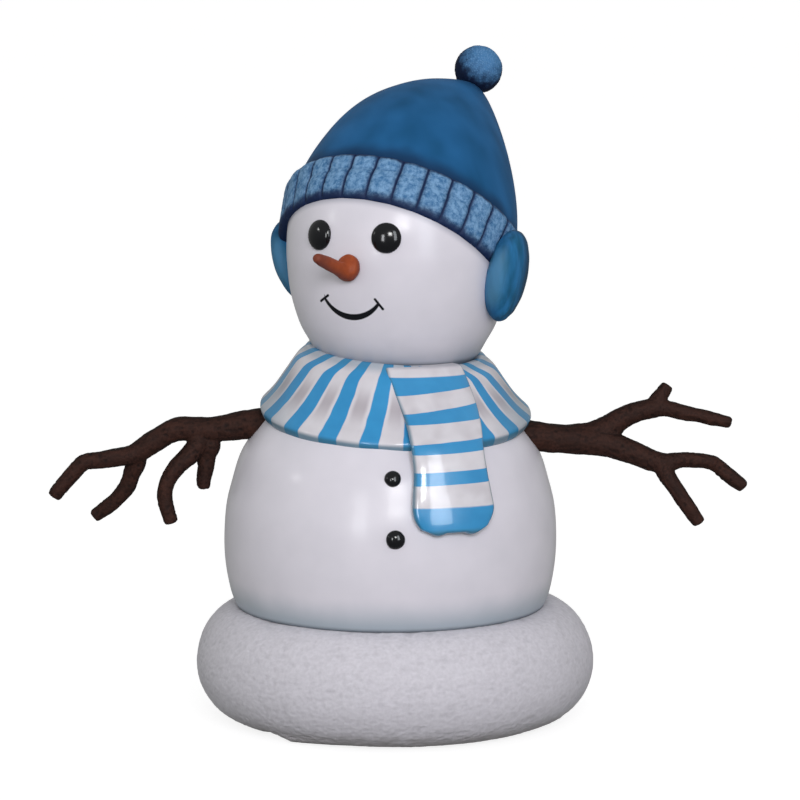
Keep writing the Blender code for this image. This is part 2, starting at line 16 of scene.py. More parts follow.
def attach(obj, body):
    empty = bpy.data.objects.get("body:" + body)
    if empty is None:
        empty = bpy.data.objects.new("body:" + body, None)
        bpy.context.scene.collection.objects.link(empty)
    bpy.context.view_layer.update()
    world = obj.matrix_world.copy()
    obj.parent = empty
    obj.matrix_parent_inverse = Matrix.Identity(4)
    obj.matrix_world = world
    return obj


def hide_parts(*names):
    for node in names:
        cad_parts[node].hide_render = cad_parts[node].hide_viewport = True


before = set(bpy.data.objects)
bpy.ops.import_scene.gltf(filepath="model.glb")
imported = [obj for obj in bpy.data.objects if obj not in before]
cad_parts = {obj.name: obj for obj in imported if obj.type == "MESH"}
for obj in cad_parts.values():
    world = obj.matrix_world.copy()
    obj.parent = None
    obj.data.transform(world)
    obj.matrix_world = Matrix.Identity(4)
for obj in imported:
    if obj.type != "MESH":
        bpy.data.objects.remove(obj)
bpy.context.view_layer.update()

# Driving sizes of the solids, in metres
BASE_RADIUS = 0.357
BASE_WIDEST_Z = 0.097
BASE_TOP_Z = 0.203
BASE_FOOT_RADIUS = 0.262
BASE_SEAT_RADIUS = 0.272

BODY_X = -0.0085
BODY_TOP_Z = 0.622
BODY_OUTLINE = [
    (0.277, 0.2033), (0.287, 0.229), (0.2955, 0.275), (0.298, 0.323), (0.2946, 0.3815), (0.2844, 0.4252),
    (0.2685, 0.475), (0.244, 0.513), (0.208, 0.555), (0.155, 0.597), (0.118, BODY_TOP_Z),
]

HEAD_X = 0.0055
HEAD_OUTLINE = [
    (0.112, 0.6223), (0.14, 0.65), (0.1585, 0.68), (0.176, 0.713), (0.1915, 0.766), (0.1975, 0.815),
    (0.1985, 0.855), (0.1935, 0.9), (0.1765, 0.95), (0.145, 0.995), (0.09, 1.03),
]
FACE_TURN = math.radians(25.0)
FACE_RIGHT = (math.cos(FACE_TURN), -math.sin(FACE_TURN), 0.0)
FACE_FRONT = (-math.sin(FACE_TURN), -math.cos(FACE_TURN), 0.0)
EYE_TURN = math.radians(19.0)
EYE_Z = 0.8810
EYE_RADIUS = 0.0262
EYE_TALL = 1.02
EYE_DEPTH = 0.0115

NOSE_TURN = math.radians(25.0)
NOSE_Z = 0.828
NOSE_BALL = 0.0225
NOSE_LENGTH = 0.092
NOSE_SAG = 0.0065
NOSE_LIFT = 0.006
NOSE_TALL = 1.06
NOSE_POINTS = Vector((-0.60, -0.76, 0.27)).normalized()
NOSE_STATIONS = [
    (-0.55, 0.55, 0.0), (-0.35, 0.86, 0.0), (-0.05, 1.0, 0.0), (0.25, 0.96, 0.0), (0.48, 0.8, 0.5),
    (0.72, 0.62, 1.0), (1.2, 0.53, 0.9), (2.2, 0.5, 0.5), (3.2, 0.43, 0.1), (3.65, 0.37, 0.0),
    (3.85, 0.27, 0.0),
]

BUTTONS = {
    "button_upper": (math.radians(1.0), 0.4720, 0.0145),
    "button_lower": (math.radians(1.8), 0.3700, 0.0165),
}
BUTTON_DEPTH = 0.010

HAT_CENTRE = Vector((-0.0052, -0.0018, 0.8188))
HAT_TILT = math.radians(37.9)
HAT_TURN = math.radians(28.1)
CROWN_RADIUS = 0.2110
CROWN_FOOT_RADIUS = 0.1925
CROWN_FLARE = 0.055
CROWN_HEIGHT = 0.396
CROWN_POWERS = (2.31, 1.32)
CROWN_BULGE_LEFT = 0.0389
CROWN_TIP_RIGHT = 0.0745
CUFF_WIDTH = 0.087
CUFF_RIM_RADIUS = 0.2065
CUFF_TOP_RADIUS = 0.2195
CUFF_RIBS = 30
POMPOM_RADIUS = 0.0435
POMPOM_CENTRE = Vector((0.1525, 0.225, 1.1480))

FLAPS = {
    "ear_flap_left": (-1, 0.204, 0.810, 0.077, math.radians(20.0)),
    "ear_flap_right": (1, 0.2110, 0.8040, 0.0825, math.radians(11.0)),
}
FLAP_THICK = 0.030
FLAP_WIDE = 0.062

COLLAR_X = 0.001
COLLAR_OUTLINE = [
    (0.1655, 0.06), (0.1785, 0.18), (0.196, 0.43), (0.2145, 0.69), (0.2285, 0.85), (0.2415, 0.98),
    (0.2415, 1.07), (0.234, 1.16),
]
COLLAR_NECK = (0.660, -0.010, -0.011)
COLLAR_RIM = (0.5560, -0.0285, -0.0086)

TAIL_THICKNESS = 0.017
TAIL_ROWS = [
    (0.652, -6.5, 45.5, 0.169), (0.636, -4.4, 45.6, 0.18), (0.612, -1.0, 45.4, 0.195),
    (0.586, 2.4, 44.2, 0.213), (0.56, 4.8, 40.6, 0.238), (0.534, 5.8, 36.4, 0.266),
    (0.506, 6.4, 34.9, 0.281), (0.477, 6.6, 34.6, 0.292), (0.444, 6.0, 34.7, 0.303),
    (0.418, 5.8, 34.9, 0.309), (0.399, 6.6, 33.5, 0.312), (0.3855, 8.6, 31.2, 0.3135),
]

# Arms, as points along each stick with its radius there, in millimetres
LEFT_ARM = [
    [(-215, 0, 529, 27), (-260, 0, 526.5, 25.5), (-306.8, 0, 519.5, 22.5), (-346, 0, 516.5, 21.5),
     (-389, 0, 517.5, 20.5), (-427.7, 0, 498, 19.5), (-464, 0, 474, 18.5)],
    [(-456, -2, 477.5, 10), (-470, -5, 472.5, 16), (-480, -6, 470, 16.5), (-526.9, -10, 464, 14.5),
     (-557.1, -12, 458.3, 14), (-579.4, -14, 436.1, 13.5), (-601.6, -16, 410.8, 13),
     (-611, -16, 397.5, 11.5)],
    [(-456, 4, 478, 12), (-464, 7, 456, 16), (-472.3, 10, 436.1, 15), (-483.5, 14, 408.1, 14),
     (-505.7, 18, 383.3, 13), (-528, 20, 366.3, 12), (-543.2, 20, 355, 10.5)],
    [(-346, -6, 508, 12), (-354, -10, 490, 17.5), (-368, -16, 472, 16.5), (-389.6, -24, 452.6, 15),
     (-406.3, -28, 427.5, 13), (-412.1, -30, 402.4, 12.5), (-406.8, -30, 374.5, 12.5),
     (-400, -30, 353, 11)],
    [(-328, 2, 508, 12), (-331, 2, 491, 18.5), (-337.5, 3, 470, 16), (-340, 3, 448, 14),
     (-343.5, 3, 425, 12.5), (-343.5, 3, 409, 10)],
]
RIGHT_ARM = [
    [(305, 1, 500, 23.5), (345, 3, 505, 23), (375, 5, 515.5, 22), (405.7, 8, 534, 18.5)],
    [(305, -1, 498.5, 24), (350, -3, 496, 23.5), (392, -6, 488, 22), (420.6, -10, 479, 19.5)],
    [(205, 0, 508, 27), (250, 0, 505, 26), (291.7, 0, 500.4, 24.5), (334.5, 0, 498.9, 25),
     (380, 0, 498.5, 25)],
    [(368, 4, 504, 14), (388, 6, 523, 21), (405.7, 8, 535.1, 19), (434.3, 10, 548, 17.5),
     (472, 12, 556, 17)],
    [(464, 12, 556, 9), (469, 13.5, 565.5, 14), (476.8, 16, 575.5, 13), (489, 20, 594, 10.5)],
    [(464, 12, 555.5, 9), (477, 11, 554.5, 14.2), (495, 8, 551.5, 13.5), (525.6, 4, 545.3, 12.5),
     (562.7, 0, 538, 11.5), (601, -4, 530, 9.5)],
    [(368, -4, 496, 14), (392, -7, 488.5, 22), (420.6, -10, 479, 20), (457.8, -14, 464, 18.5),
     (485, -16, 457, 17.5)],
    [(476, -16, 459, 9), (490, -15, 460.5, 15), (515, -12, 464, 13.5), (556, -8, 461, 12.5),
     (576, -6, 453, 12.5), (603, -4, 431, 12.5), (626, -2, 413, 10.5)],
    [(474, -18, 456, 11), (483, -23, 443, 15), (486, -26, 437, 14.5), (501, -32, 415, 13.5),
     (523, -38, 384, 13), (544, -40, 354, 11)],
]

# Relief that is added over the solids
DRIFT_RELIEF = 0.0013
DRIFT_SWELL = 0.0015
CHIP_LIFT = 0.0060
CHIP_HEIGHT = 0.020
FOOT_SPREAD = 0.024
FOOT_RADIUS = 0.28
BODY_RIPPLE = 0.0006
HEAD_RIPPLE = 0.0005
BUTTON_RIPPLE = 0.0005
NOSE_RIPPLE = 0.0007
POMPOM_PEBBLE = 0.0007
POMPOM_SWELL = 0.0005
KNIT_FOLD = 0.0016
RIB_CROWN = 0.0016
RIB_GROOVE = 0.0045
RIB_GROOVE_HALF_SHARE = 0.085
RIB_KNIT = 0.0007
PAD_STROKES = 0.0011
COLLAR_WAVE = 0.0012
TAIL_LOBE = 0.0050
TAIL_ROUNDNESS = 0.36
BARK_RELIEF = 0.0015
BARK_KNOT = 0.0014
# What the smoothing of the forks takes off the sticks, put back
BARK_SWELL = 0.0009
FUSE_VOXEL = 0.0020

# Painted marks. The smile is set out on the face as distance to the right of its middle, and height
SMILE_LEFT = (-0.0548, 0.7701)
SMILE_LOW = (0.0009, 0.7400)
SMILE_RIGHT = (0.0481, 0.7647)
SMILE_TICKS = [((-0.0648, 0.7646), (-0.0474, 0.7762)), ((0.0434, 0.7736), (0.0551, 0.7567))]
SMILE_HALF = 0.0056
SMILE_HALF_AT_ENDS = 0.0027
TICK_HALF = SMILE_HALF_AT_ENDS * 0.85
STROKE_SOFT = 0.0007
# Height of the painted shadow line along a gel-coat's lower seam
SEAM_LINE = 0.009
# Direction the cuff is painted as lit from: its dabs are thickest, and it is palest, on that side
CUFF_LIT_FROM = (-0.20, -0.97, 0.10)
# Middles of the collar's blue stripes across the front, as turns in degrees at its neck and at its rim
STRIPES_AT_NECK = [-58.0, -39.5, -24.0, -5.0, 10.0, 21.0, 34.0, 49.5, 63.0]
STRIPES_AT_RIM = [-69.2, -49.2, -29.3, -10.8, 7.0, 24.5, 42.0, 58.6, 79.0]
STRIPES_BEHIND = 10
BLUE_SHARE = 0.45
# Heights of the edges of the tail's stripes at its left and right side: blue starts at the first
TAIL_STRIPES_LEFT = [0.6350, 0.6045, 0.5755, 0.5594, 0.5290, 0.5129, 0.4836, 0.4622, 0.4263]
TAIL_STRIPES_RIGHT = [0.6342, 0.6147, 0.5882, 0.5636, 0.5355, 0.5159, 0.4860, 0.4642, 0.4247]


# Helpers for materials

# The setting that each kind of node is mostly given, so that a call can say its value after the kind
MAIN_SETTING = {
    "Math": "operation", "VectorMath": "operation", "MapRange": "interpolation_type", "Mix": "data_type",
    "UVMap": "uv_map", "Attribute": "attribute_name",
}


def colour(code):
    """An sRGB hex colour as linear light for a shader socket."""
    channels = [int(code[i:i + 2], 16) / 255 for i in (1, 3, 5)]
    linear = [c / 12.92 if c <= 0.04045 else ((c + 0.055) / 1.055) ** 2.4 for c in channels]
    return (*linear, 1.0)


def add(tree, kind, inputs=(), output=0, **settings):
    """Adds one node with its settings and its inputs: values, hex colours or other nodes' outputs. Inputs
    come as a list in the order of the node's sockets, or as a dictionary by socket."""
    name, _, choice = kind.partition(" ")
    made = tree.nodes.new("ShaderNode" + name)
    if choice:
        settings[MAIN_SETTING[name]] = choice
    for setting, value in settings.items():
        setattr(made, setting, value)
    by_socket = inputs if isinstance(inputs, dict) else dict(enumerate(inputs))
    for socket, source in by_socket.items():
        if isinstance(source, bpy.types.NodeSocket):
            tree.links.new(source, made.inputs[socket])
        else:
            made.inputs[socket].default_value = colour(source) if isinstance(source, str) else source
    return made.outputs[output]


def new_finish(name, roughness, coat=0.0, specular=0.5):
    """An empty finish with its plain values set; returns the material, a short way to add a node to it, and
    the place of a point on its object, in metres."""
    material = bpy.data.materials.new(name)
    material.use_nodes = True
    sockets = material.node_tree.nodes["Principled BSDF"].inputs
    sockets["Roughness"].default_value = roughness
    sockets["Coat Weight"].default_value = coat
    sockets["Coat Roughness"].default_value = 0.06
    sockets["Specular IOR Level"].default_value = specular
    node = partial(add, material.node_tree)
    return material, node, node("TexCoord", [], "Object")


def painted(material, paint, height=None, strength=0.0, depth=0.0):
    """Ends a finish with its paint and, if a height is given, its skin's relief, with a depth in metres."""
    tree = material.node_tree
    sockets = tree.nodes["Principled BSDF"].inputs
    tree.links.new(paint, sockets["Base Color"])
    if height is not None:
        bump = add(tree, "Bump", {"Height": height, "Strength": strength, "Distance": depth})
        tree.links.new(bump, sockets["Normal"])
    return material


def between(value, start, end, low=0.0, high=1.0):
    """Inputs that lay the run of a value from start to end on a run from low to high."""
    return {"Value": value, "From Min": start, "From Max": end, "To Min": low, "To Max": high}


def sized(place, millimetres, detail):
    """Inputs of a pattern whose lumps lie so many real millimetres apart."""
    return {"Vector": place, "Scale": 1000.0 / millimetres, "Detail": detail}


def away(node, value, middle):
    """How far a value lies from a middle, to either side."""
    offset = node("Math SUBTRACT", [value, middle])
    return node("Math ABSOLUTE", [offset])


def blown(node, under, code, value, start, end, cover_there, cover_past):
    """One pass of an airbrush over the paint below it. Its cover, a share, changes softly from the first
    cover to the second while a value goes from start to end."""
    cover = node("MapRange SMOOTHSTEP", between(value, start, end, cover_there, cover_past))
    return node("Mix RGBA", {0: cover, 6: under, 7: code}, 2)


# Helpers for shapes

def curve_through(points, steps):
    """Rows of numbers on a smooth curve (Catmull-Rom) through the given rows."""
    points = np.asarray(points, float)
    ends = np.vstack([2 * points[0] - points[1], points, 2 * points[-1] - points[-2]])
    t = np.linspace(0, 1, steps, endpoint=False)[:, None]
    runs = []
    for before, start, end, after in zip(ends, ends[1:], ends[2:], ends[3:]):
        bend = 2 * before - 5 * start + 4 * end - after
        twist = 3 * start - 3 * end + after - before
        runs.append(0.5 * (2 * start + (end - before) * t + bend * t ** 2 + twist * t ** 3))
    return np.vstack(runs + [points[-1:]])


def evenly(points, spacing):
    """The same line of points, set out again at an even spacing."""
    points = np.asarray(points, float)
    lengths = np.linalg.norm(np.diff(points, axis=0), axis=1)
    along = np.concatenate([[0.0], np.cumsum(lengths)])
    wanted = np.linspace(0, along[-1], max(2, round(along[-1] / spacing) + 1))
    return np.column_stack([np.interp(wanted, along, column) for column in points.T])


def radius_at(outline, z):
    """Radius of a turned outline at a height."""
    curve = curve_through(outline, 8)
    return np.interp(z, curve[:, 1], curve[:, 0])


def slope_at(outline, z):
    """How fast a turned outline widens with height."""
    step = 0.004
    return (radius_at(outline, z + step) - radius_at(outline, z - step)) / (2 * step)


def lumps(points, size, seed):
    """Smooth random heights from -1 to 1, one for each point, with lumps of about that size."""
    flat = points.reshape(-1, 3) / size + seed
    return np.array([noise.noise(Vector(p)) for p in flat]).reshape(points.shape[:-1])


def pebbles(points, size, seed):
    """Rounded random grains from 0 in the cracks to 1 on the tops, one value for each point."""
    flat = points.reshape(-1, 3) / size + seed
    nearest = np.array([noise.voronoi(Vector(p))[0][:2] for p in flat])
    tops = np.clip(nearest[:, 1] - nearest[:, 0], 0, 0.5) * 2
    return tops.reshape(points.shape[:-1])


def raised(grid, heights):
    """A grid of points that closes around, moved away from its middle by a height each."""
    across = np.roll(grid, -1, axis=1) - np.roll(grid, 1, axis=1)
    normal = np.cross(across, np.gradient(grid, axis=0))
    normal /= np.maximum(np.linalg.norm(normal, axis=2, keepdims=True), 1e-12)
    middle = grid.reshape(-1, 3).mean(axis=0)
    facing = np.sign(np.sum(normal * (grid - middle), axis=2).mean())
    return grid + normal * facing * heights[..., None]


def full_turn(steps):
    """Even angles once around."""
    return np.linspace(0, 2 * math.pi, steps, endpoint=False)


def lay_around(columns, values, most=1.0):
    """The lay of a grid that closes around: 0 to most across its columns, and a value for each row."""
    across = np.linspace(0, most, columns + 1)
    return np.stack(np.broadcast_arrays(across[None, :], values[:, None]), axis=2)


def about_axis(centre_x, radius, turns, z):
    """Points at a radius, a turn and a height about an upright axis."""
    parts = (centre_x + radius * np.sin(turns), -radius * np.cos(turns), z)
    return np.stack(np.broadcast_arrays(*parts), axis=-1)


def surface(name, grid, lay, around=True, closed=False):
    """A smooth mesh over a grid of points, rows by columns. Its lay, a pair of numbers for each point,
    becomes a UV map; a grid that closes around has one more column of lay. closed caps both end rows."""
    rows, columns = grid.shape[:2]
    points = [tuple(p) for p in grid.reshape(-1, 3)]
    faces = []
    corners = []
    for r in range(rows - 1):
        for c in range(columns if around else columns - 1):
            d = (c + 1) % columns
            faces.append((r * columns + c, r * columns + d, (r + 1) * columns + d, (r + 1) * columns + c))
            corners += [lay[r, c], lay[r, c + 1], lay[r + 1, c + 1], lay[r + 1, c]]
    for row in (0, rows - 1) if closed else ():
        points.append(tuple(grid[row].mean(axis=0)))
        for c in range(columns):
            d = (c + 1) % columns
            faces.append((row * columns + c, row * columns + d, len(points) - 1))
            corners += [lay[row, c], lay[row, c + 1], lay[row, c]]
    mesh = bpy.data.meshes.new(name)
    mesh.from_pydata(points, [], faces)
    layer = mesh.uv_layers.new(name="lay")
    layer.data.foreach_set("uv", np.array(corners, dtype=np.float32).ravel())
    return finished(name, mesh)


def placed(name, data):
    """A new object in the scene."""
    made = bpy.data.objects.new(name, data)
    bpy.context.scene.collection.objects.link(made)
    return made


def mesh_from(name, bm):
    """A mesh from an editable one, which is let go."""
    mesh = bpy.data.meshes.new(name)
    bm.to_mesh(mesh)
    bm.free()
    return mesh


def finished(name, mesh):
    """Puts a mesh in the scene, smooth and with its faces pointing out."""
    bm = bmesh.new()
    bm.from_mesh(mesh)
    bmesh.ops.recalc_face_normals(bm, faces=bm.faces)
    bm.to_mesh(mesh)
    bm.free()
    mesh.shade_smooth()
    return placed(name, mesh)


def settle(piece, material, slot, *nodes):
    """Gives a piece its finish, hangs it on the root body and hides the solids it stands for."""
    piece.data.materials.clear()
    piece.data.materials.append(material)
    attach(piece, "root")
    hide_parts(*nodes)


def turned_grid(profile, centre_x, columns):
    """Points of a form turned about an upright axis from rows of radius and height, and their lay: share of
    the way around, and height."""
    grid = about_axis(centre_x, profile[:, :1], full_turn(columns), profile[:, 1:])
    return grid, lay_around(columns, profile[:, 1])


def axes_towards(normal, up=Vector((0.0, 0.0, 1.0))):
    """A rotation whose third axis is normal and whose second leans towards up."""
    across = up.cross(normal).normalized()
    return Matrix((across, normal.cross(across), normal)).transposed()


def dome_grid(radii, centre, rotation, rows, columns):
    """Points of a squashed ball, from pole to pole of its third axis."""
    lift = np.linspace(-0.5, 0.5, rows + 2)[1:-1] * math.pi
    turns = full_turn(columns)
    local = np.stack([
        radii[0] * np.cos(lift)[:, None] * np.cos(turns),
        radii[1] * np.cos(lift)[:, None] * np.sin(turns),
        np.repeat(radii[2] * np.sin(lift)[:, None], columns, axis=1),
    ], axis=2)
    grid = local @ np.array(rotation).T + np.array(centre)
    return grid, lay_around(columns, np.linspace(0, 1, rows))


def hat_axes():
    """Right, back and up directions of the tipped hat."""
    lean = math.sin(HAT_TILT)
    up = Vector((lean * math.sin(HAT_TURN), lean * math.cos(HAT_TURN), math.cos(HAT_TILT)))
    right = Vector((0.0, 1.0, 0.0)).cross(up).normalized()
    return right, up.cross(right), up


def hat_grid(turns, radius, height, lean=0.0):
    """Points in the hat's tipped frame from arrays of turn, radius, height and sideways lean."""
    right, back, up = (np.array(axis) for axis in hat_axes())
    turns, radius, height, lean = np.broadcast_arrays(turns, radius, height, lean)
    across = (lean + radius * np.sin(turns))[..., None] * right
    depth = (radius * np.cos(turns))[..., None] * back
    return np.array(HAT_CENTRE) + height[..., None] * up + across - depth


def head_reach(turns, height):
    """How far the head reaches from the hat's axis, at turns and heights of the hat."""
    reach = np.full(np.broadcast(turns, height).shape, 0.20)
    for _ in range(20):
        point = hat_grid(turns, reach, height)
        from_axis = np.hypot(point[..., 0] - HEAD_X, point[..., 1])
        reach = reach + 0.7 * (radius_at(HEAD_OUTLINE, point[..., 2]) - from_axis)
    return reach


def spot_on(outline, centre_x, turn, z):
    """Point and outward direction on a turned form."""
    outwards = Vector((math.sin(turn), -math.cos(turn), -slope_at(outline, z))).normalized()
    return Vector(about_axis(centre_x, radius_at(outline, z), turn, z)), outwards


# Finishes

def gelcoat(name, seam_z, seam_height, shade_code, marks=None):
    """Gel-coat: pigmented polyester resin sprayed in the mould, then polished. It is white, hard and
    glossy, so lights lie on it as soft patches. A blue-grey painted shade fades up from its lower seam,
    where it meets the part below, with a darker painted shadow line along that seam. marks adds what is
    painted over that."""
    material, node, place = new_finish(name, 0.27, coat=0.05, specular=0.23)
    height = node("SeparateXYZ", [place], "Z")
    drift = node("TexNoise", sized(place, 60, 2.0))
    white = node("Mix RGBA", {0: drift, 6: "#D8D6DE", 7: "#E4E1E9"}, 2)
    wobble = node("Math MULTIPLY_ADD", [drift, seam_height * 0.12, height])
    faded_from = seam_z + seam_height * 0.05
    # Painted shade: blue-grey fading up from the lower seam, then a dark painted shadow line along it
    paint = blown(node, white, shade_code, wobble, faded_from, seam_z + seam_height, 1.0, 0.0)
    paint = blown(node, paint, "#6F767D", height, seam_z, seam_z + SEAM_LINE, 0.8, 0.0)
    if marks:
        paint = marks(node, place, paint)
    peel = node("TexNoise", sized(place, 5, 1.0))
    return painted(material, paint, peel, 0.05, 0.0006)


def circle_through(first, middle, last):
    """Centre and radius of the circle through three points."""
    start, through, end = (complex(*point) for point in (first, middle, last))
    shape = (end - start) / (through - start)
    centre = start + (through - start) * (shape - abs(shape) ** 2) / (2j * shape.imag)
    return (centre.real, centre.imag), abs(centre - start)


def face_side(node, place, direction):
    """How far a point lies from the head's axis in a level direction."""
    from_axis = node("VectorMath SUBTRACT", [place, (HEAD_X, 0, 0)])
    return node("VectorMath DOT_PRODUCT", [from_axis, direction], 1)


def stroke(node, past):
    """1 inside a brush stroke and 0 outside it, from the distance past its edge."""
    return node("MapRange", between(past, -STROKE_SOFT, STROKE_SOFT, 1.0, 0.0))


def smile_mask(node, place):
    """1 on the painted smile: an arc that thins to its ends, with a short tick across each end."""
    across = face_side(node, place, FACE_RIGHT)
    ahead = face_side(node, place, FACE_FRONT)
    height = node("SeparateXYZ", [place], "Z")
    spot = node("CombineXYZ", {"X": across, "Y": height})
    centre, radius = circle_through(SMILE_LEFT, SMILE_LOW, SMILE_RIGHT)
    middle = (SMILE_LEFT[0] + SMILE_RIGHT[0]) / 2
    half_span = (SMILE_RIGHT[0] - SMILE_LEFT[0]) / 2
    reach = node("VectorMath DISTANCE", [spot, (*centre, 0.0)], 1)
    aside = node("Math DIVIDE", [away(node, across, middle), half_span])
    thin = node("Math POWER", [aside, 2.0])
    half = node("MapRange", {"Value": thin, "To Min": SMILE_HALF, "To Max": SMILE_HALF_AT_ENDS})
    line = stroke(node, node("Math SUBTRACT", [away(node, reach, radius), half]))
    inside = node("Math LESS_THAN", [aside, 1.02])
    low = node("Math LESS_THAN", [height, centre[1]])
    line = node("Math MULTIPLY", [line, inside])
    line = node("Math MULTIPLY", [line, low])
    for start, end in SMILE_TICKS:
        run = (end[0] - start[0], end[1] - start[1], 0.0)
        offset = node("VectorMath SUBTRACT", [spot, (*start, 0.0)])
        along = node("VectorMath DOT_PRODUCT", [offset, run], 1)
        share = node("Math DIVIDE", [along, run[0] ** 2 + run[1] ** 2], use_clamp=True)
        nearest = node("VectorMath SCALE", {0: run, "Scale": share})
        gap = node("VectorMath DISTANCE", [offset, nearest], 1)
        tick = stroke(node, node("Math SUBTRACT", [gap, TICK_HALF]))
        line = node("Math MAXIMUM", [line, tick])
    front = node("Math GREATER_THAN", [ahead, 0.0])
    return node("Math MULTIPLY", [line, front])


def face_marks(node, place, paint):
    """A smile hand-painted in black enamel, and a painted shade on the head just under the hat's cuff."""
    from_hat = node("VectorMath SUBTRACT", [place, tuple(HAT_CENTRE)])
    above = node("VectorMath DOT_PRODUCT", [from_hat, tuple(hat_axes()[2])], 1)
    # Painted shade under the cuff, where the hat overhangs the head
    paint = blown(node, paint, "#7C8294", above, -0.018, -0.002, 0.0, 0.6)
    return node("Mix RGBA", {0: smile_mask(node, place), 6: paint, 7: "#0A0C14"}, 2)


def stippled_coat():
    """Textured masonry-like coat, dabbed on with a stiff brush while wet: off-white and matt, in short
    ridges about a finger's thickness apart. Its pits are painted darker than the ridge tops as shade, its
    lower part carries a painted shade, and a dark painted shadow line runs along the foot."""
    material, node, place = new_finish("stippled_masonry_coat", 0.85, specular=0.3)
    height = node("SeparateXYZ", [place], "Z")
    relief = node("Attribute relief", [], "Fac")
    grit = node("TexNoise", sized(place, 5, 3.0))
    # Painted shade: the pits darker than the tops of the ridges
    tops = node("Mix RGBA", {0: relief, 6: "#C0BEC5", 7: "#D4D2D9"}, 2)
    speck = node("MapRange", between(grit, 0.35, 0.65, 0.95, 1.03))
    coat = node("VectorMath SCALE", {0: tops, "Scale": speck})
    patch = node("TexNoise", sized(place, 45, 3.0))
    wavering = node("Math MULTIPLY_ADD", [patch, -0.030, height])
    # Painted shade over the lower part, under the drift's bulge
    coat = blown(node, coat, "#8A8482", wavering, -0.012, 0.030, 0.55, 0.0)
    # Painted shadow line along the foot, where the drift meets the floor
    coat = blown(node, coat, "#3B3836", height, 0.002, 0.007, 0.9, 0.0)
    return painted(material, coat, grit, 0.35, 0.0012)


def hat_enamel():
    """Satin enamel, brushed: mid blue with soft upright streaks, and navy painted shade where the crown
    meets the cuff and around the tip under the pompom. The lay gives share around and share of the way up."""
    material, node, place = new_finish("satin_enamel_crown", 0.55, specular=0.08)
    share = node("SeparateXYZ", [node("UVMap lay")], "Y")
    stretched = node("Mapping", {"Vector": place, "Scale": (1.0, 1.0, 0.35)})
    streak = node("TexNoise", sized(stretched, 60, 1.5))
    streak = node("MapRange", between(streak, 0.28, 0.70))
    base = node("Mix RGBA", {0: streak, 6: "#16507B", 7: "#246397"}, 2)
    cloud = node("TexNoise", sized(place, 90, 2.0))
    wander = node("Math MULTIPLY_ADD", [cloud, 0.10, share])
    # Painted shade: navy above the cuff, and around the tip under the pompom
    base = blown(node, base, "#132A4A", wander, 0.270, 0.365, 0.80, 0.0)
    base = blown(node, base, "#1B3556", wander, 0.88, 1.04, 0.0, 0.7)
    grain = node("TexNoise", sized(place, 3, 2.0))
    return painted(material, base, grain, 0.15, 0.0006)


def cuff_enamel():
    """Navy enamel with pale blue dabbed over it with a sponge, so the ribs look knitted: pale and speckled
    on their faces, navy in the grooves. Fewer dabs towards the grooves, at both borders and away from the
    front make a painted shade that rounds the ribs and the roll and darkens the side away from the lamps.
    The lay gives ribs around and share up."""
    material, node, place = new_finish("sponged_enamel_cuff", 0.6, specular=0.12)
    lay = node("UVMap lay")
    around = node("SeparateXYZ", [lay], "X")
    share = node("SeparateXYZ", [lay], "Y")
    from_middle = away(node, node("Math FRACT", [around]), 0.5)
    sponge = node("TexNoise", {**sized(place, 9, 4.0), "Roughness": 0.75})
    broad = node("TexNoise", sized(place, 24, 1.0))
    ragged = node("Math MULTIPLY_ADD", [sponge, 0.04, from_middle])
    wander = node("Math MULTIPLY_ADD", [broad, 0.14, share])
    ahead = node("VectorMath DOT_PRODUCT", [place, CUFF_LIT_FROM], 1)
    # The dabs stop at a ragged edge in each groove. They thin towards it, at both borders and away from
    # the front: painted shade that rounds the ribs and the roll, and darkens the far sides
    face = node("MapRange SMOOTHSTEP", between(ragged, 0.445, 0.515, 1.0, 0.0))
    for thinner in (
        between(from_middle, 0.24, 0.47, 1.0, 0.70),
        between(wander, 0.00, 0.24),
        between(wander, 0.93, 1.07, 1.0, 0.0),
        between(ahead, 0.02, 0.15, 0.35, 1.0),
    ):
        face = node("Math MULTIPLY", [face, node("MapRange SMOOTHSTEP", thinner)])
    dabs = node("MapRange", between(sponge, 0.38, 0.62))
    dabbed = node("Mix RGBA", {0: dabs, 6: "#3F709D", 7: "#7DA6CC"}, 2)
    cover = node("Math MULTIPLY_ADD", [dabs, 0.35, face], use_clamp=True)
    cover = node("Math MULTIPLY", [cover, face])
    paint = node("Mix RGBA", {0: cover, 6: "#16264A", 7: dabbed}, 2)
    return painted(material, paint, sponge, 0.5, 0.0014)


def pompom_enamel():
    """The cuff's sponged enamel on a pebbled ball, with painted light: navy as painted shade below and on
    the left, pale dabs as if lit on its upper right, palest on the pebbles' tops there."""
    material, node, place = new_finish("sponged_enamel_pompom", 0.65, specular=0.1)
    relief = node("Attribute relief", [], "Fac")
    offset = node("VectorMath SUBTRACT", [place, tuple(POMPOM_CENTRE)])
    # Painted light and shade: paler towards the upper right front, darker below and on the left
    lit = Vector((0.42, -0.62, 0.66)).normalized() / POMPOM_RADIUS
    side = node("VectorMath DOT_PRODUCT", [offset, tuple(lit)], 1)
    dabs = node("TexNoise", sized(place, 11, 3.0))
    wander = node("Math MULTIPLY_ADD", [dabs, 0.9, side])
    pale = node("MapRange SMOOTHSTEP", between(wander, 0.52, 1.45))
    ground = node("Mix RGBA", {0: pale, 6: "#0B1A36", 7: "#447AAB"}, 2)
    # Painted highlight on the pebbles' tops on the paler side
    tops = node("Math MULTIPLY", [relief, pale])
    paint = node("Mix RGBA", {0: tops, 6: ground, 7: "#6290BC"}, 2)
    grain = node("TexNoise", sized(place, 3, 2.0))
    return painted(material, paint, grain, 0.4, 0.0010)


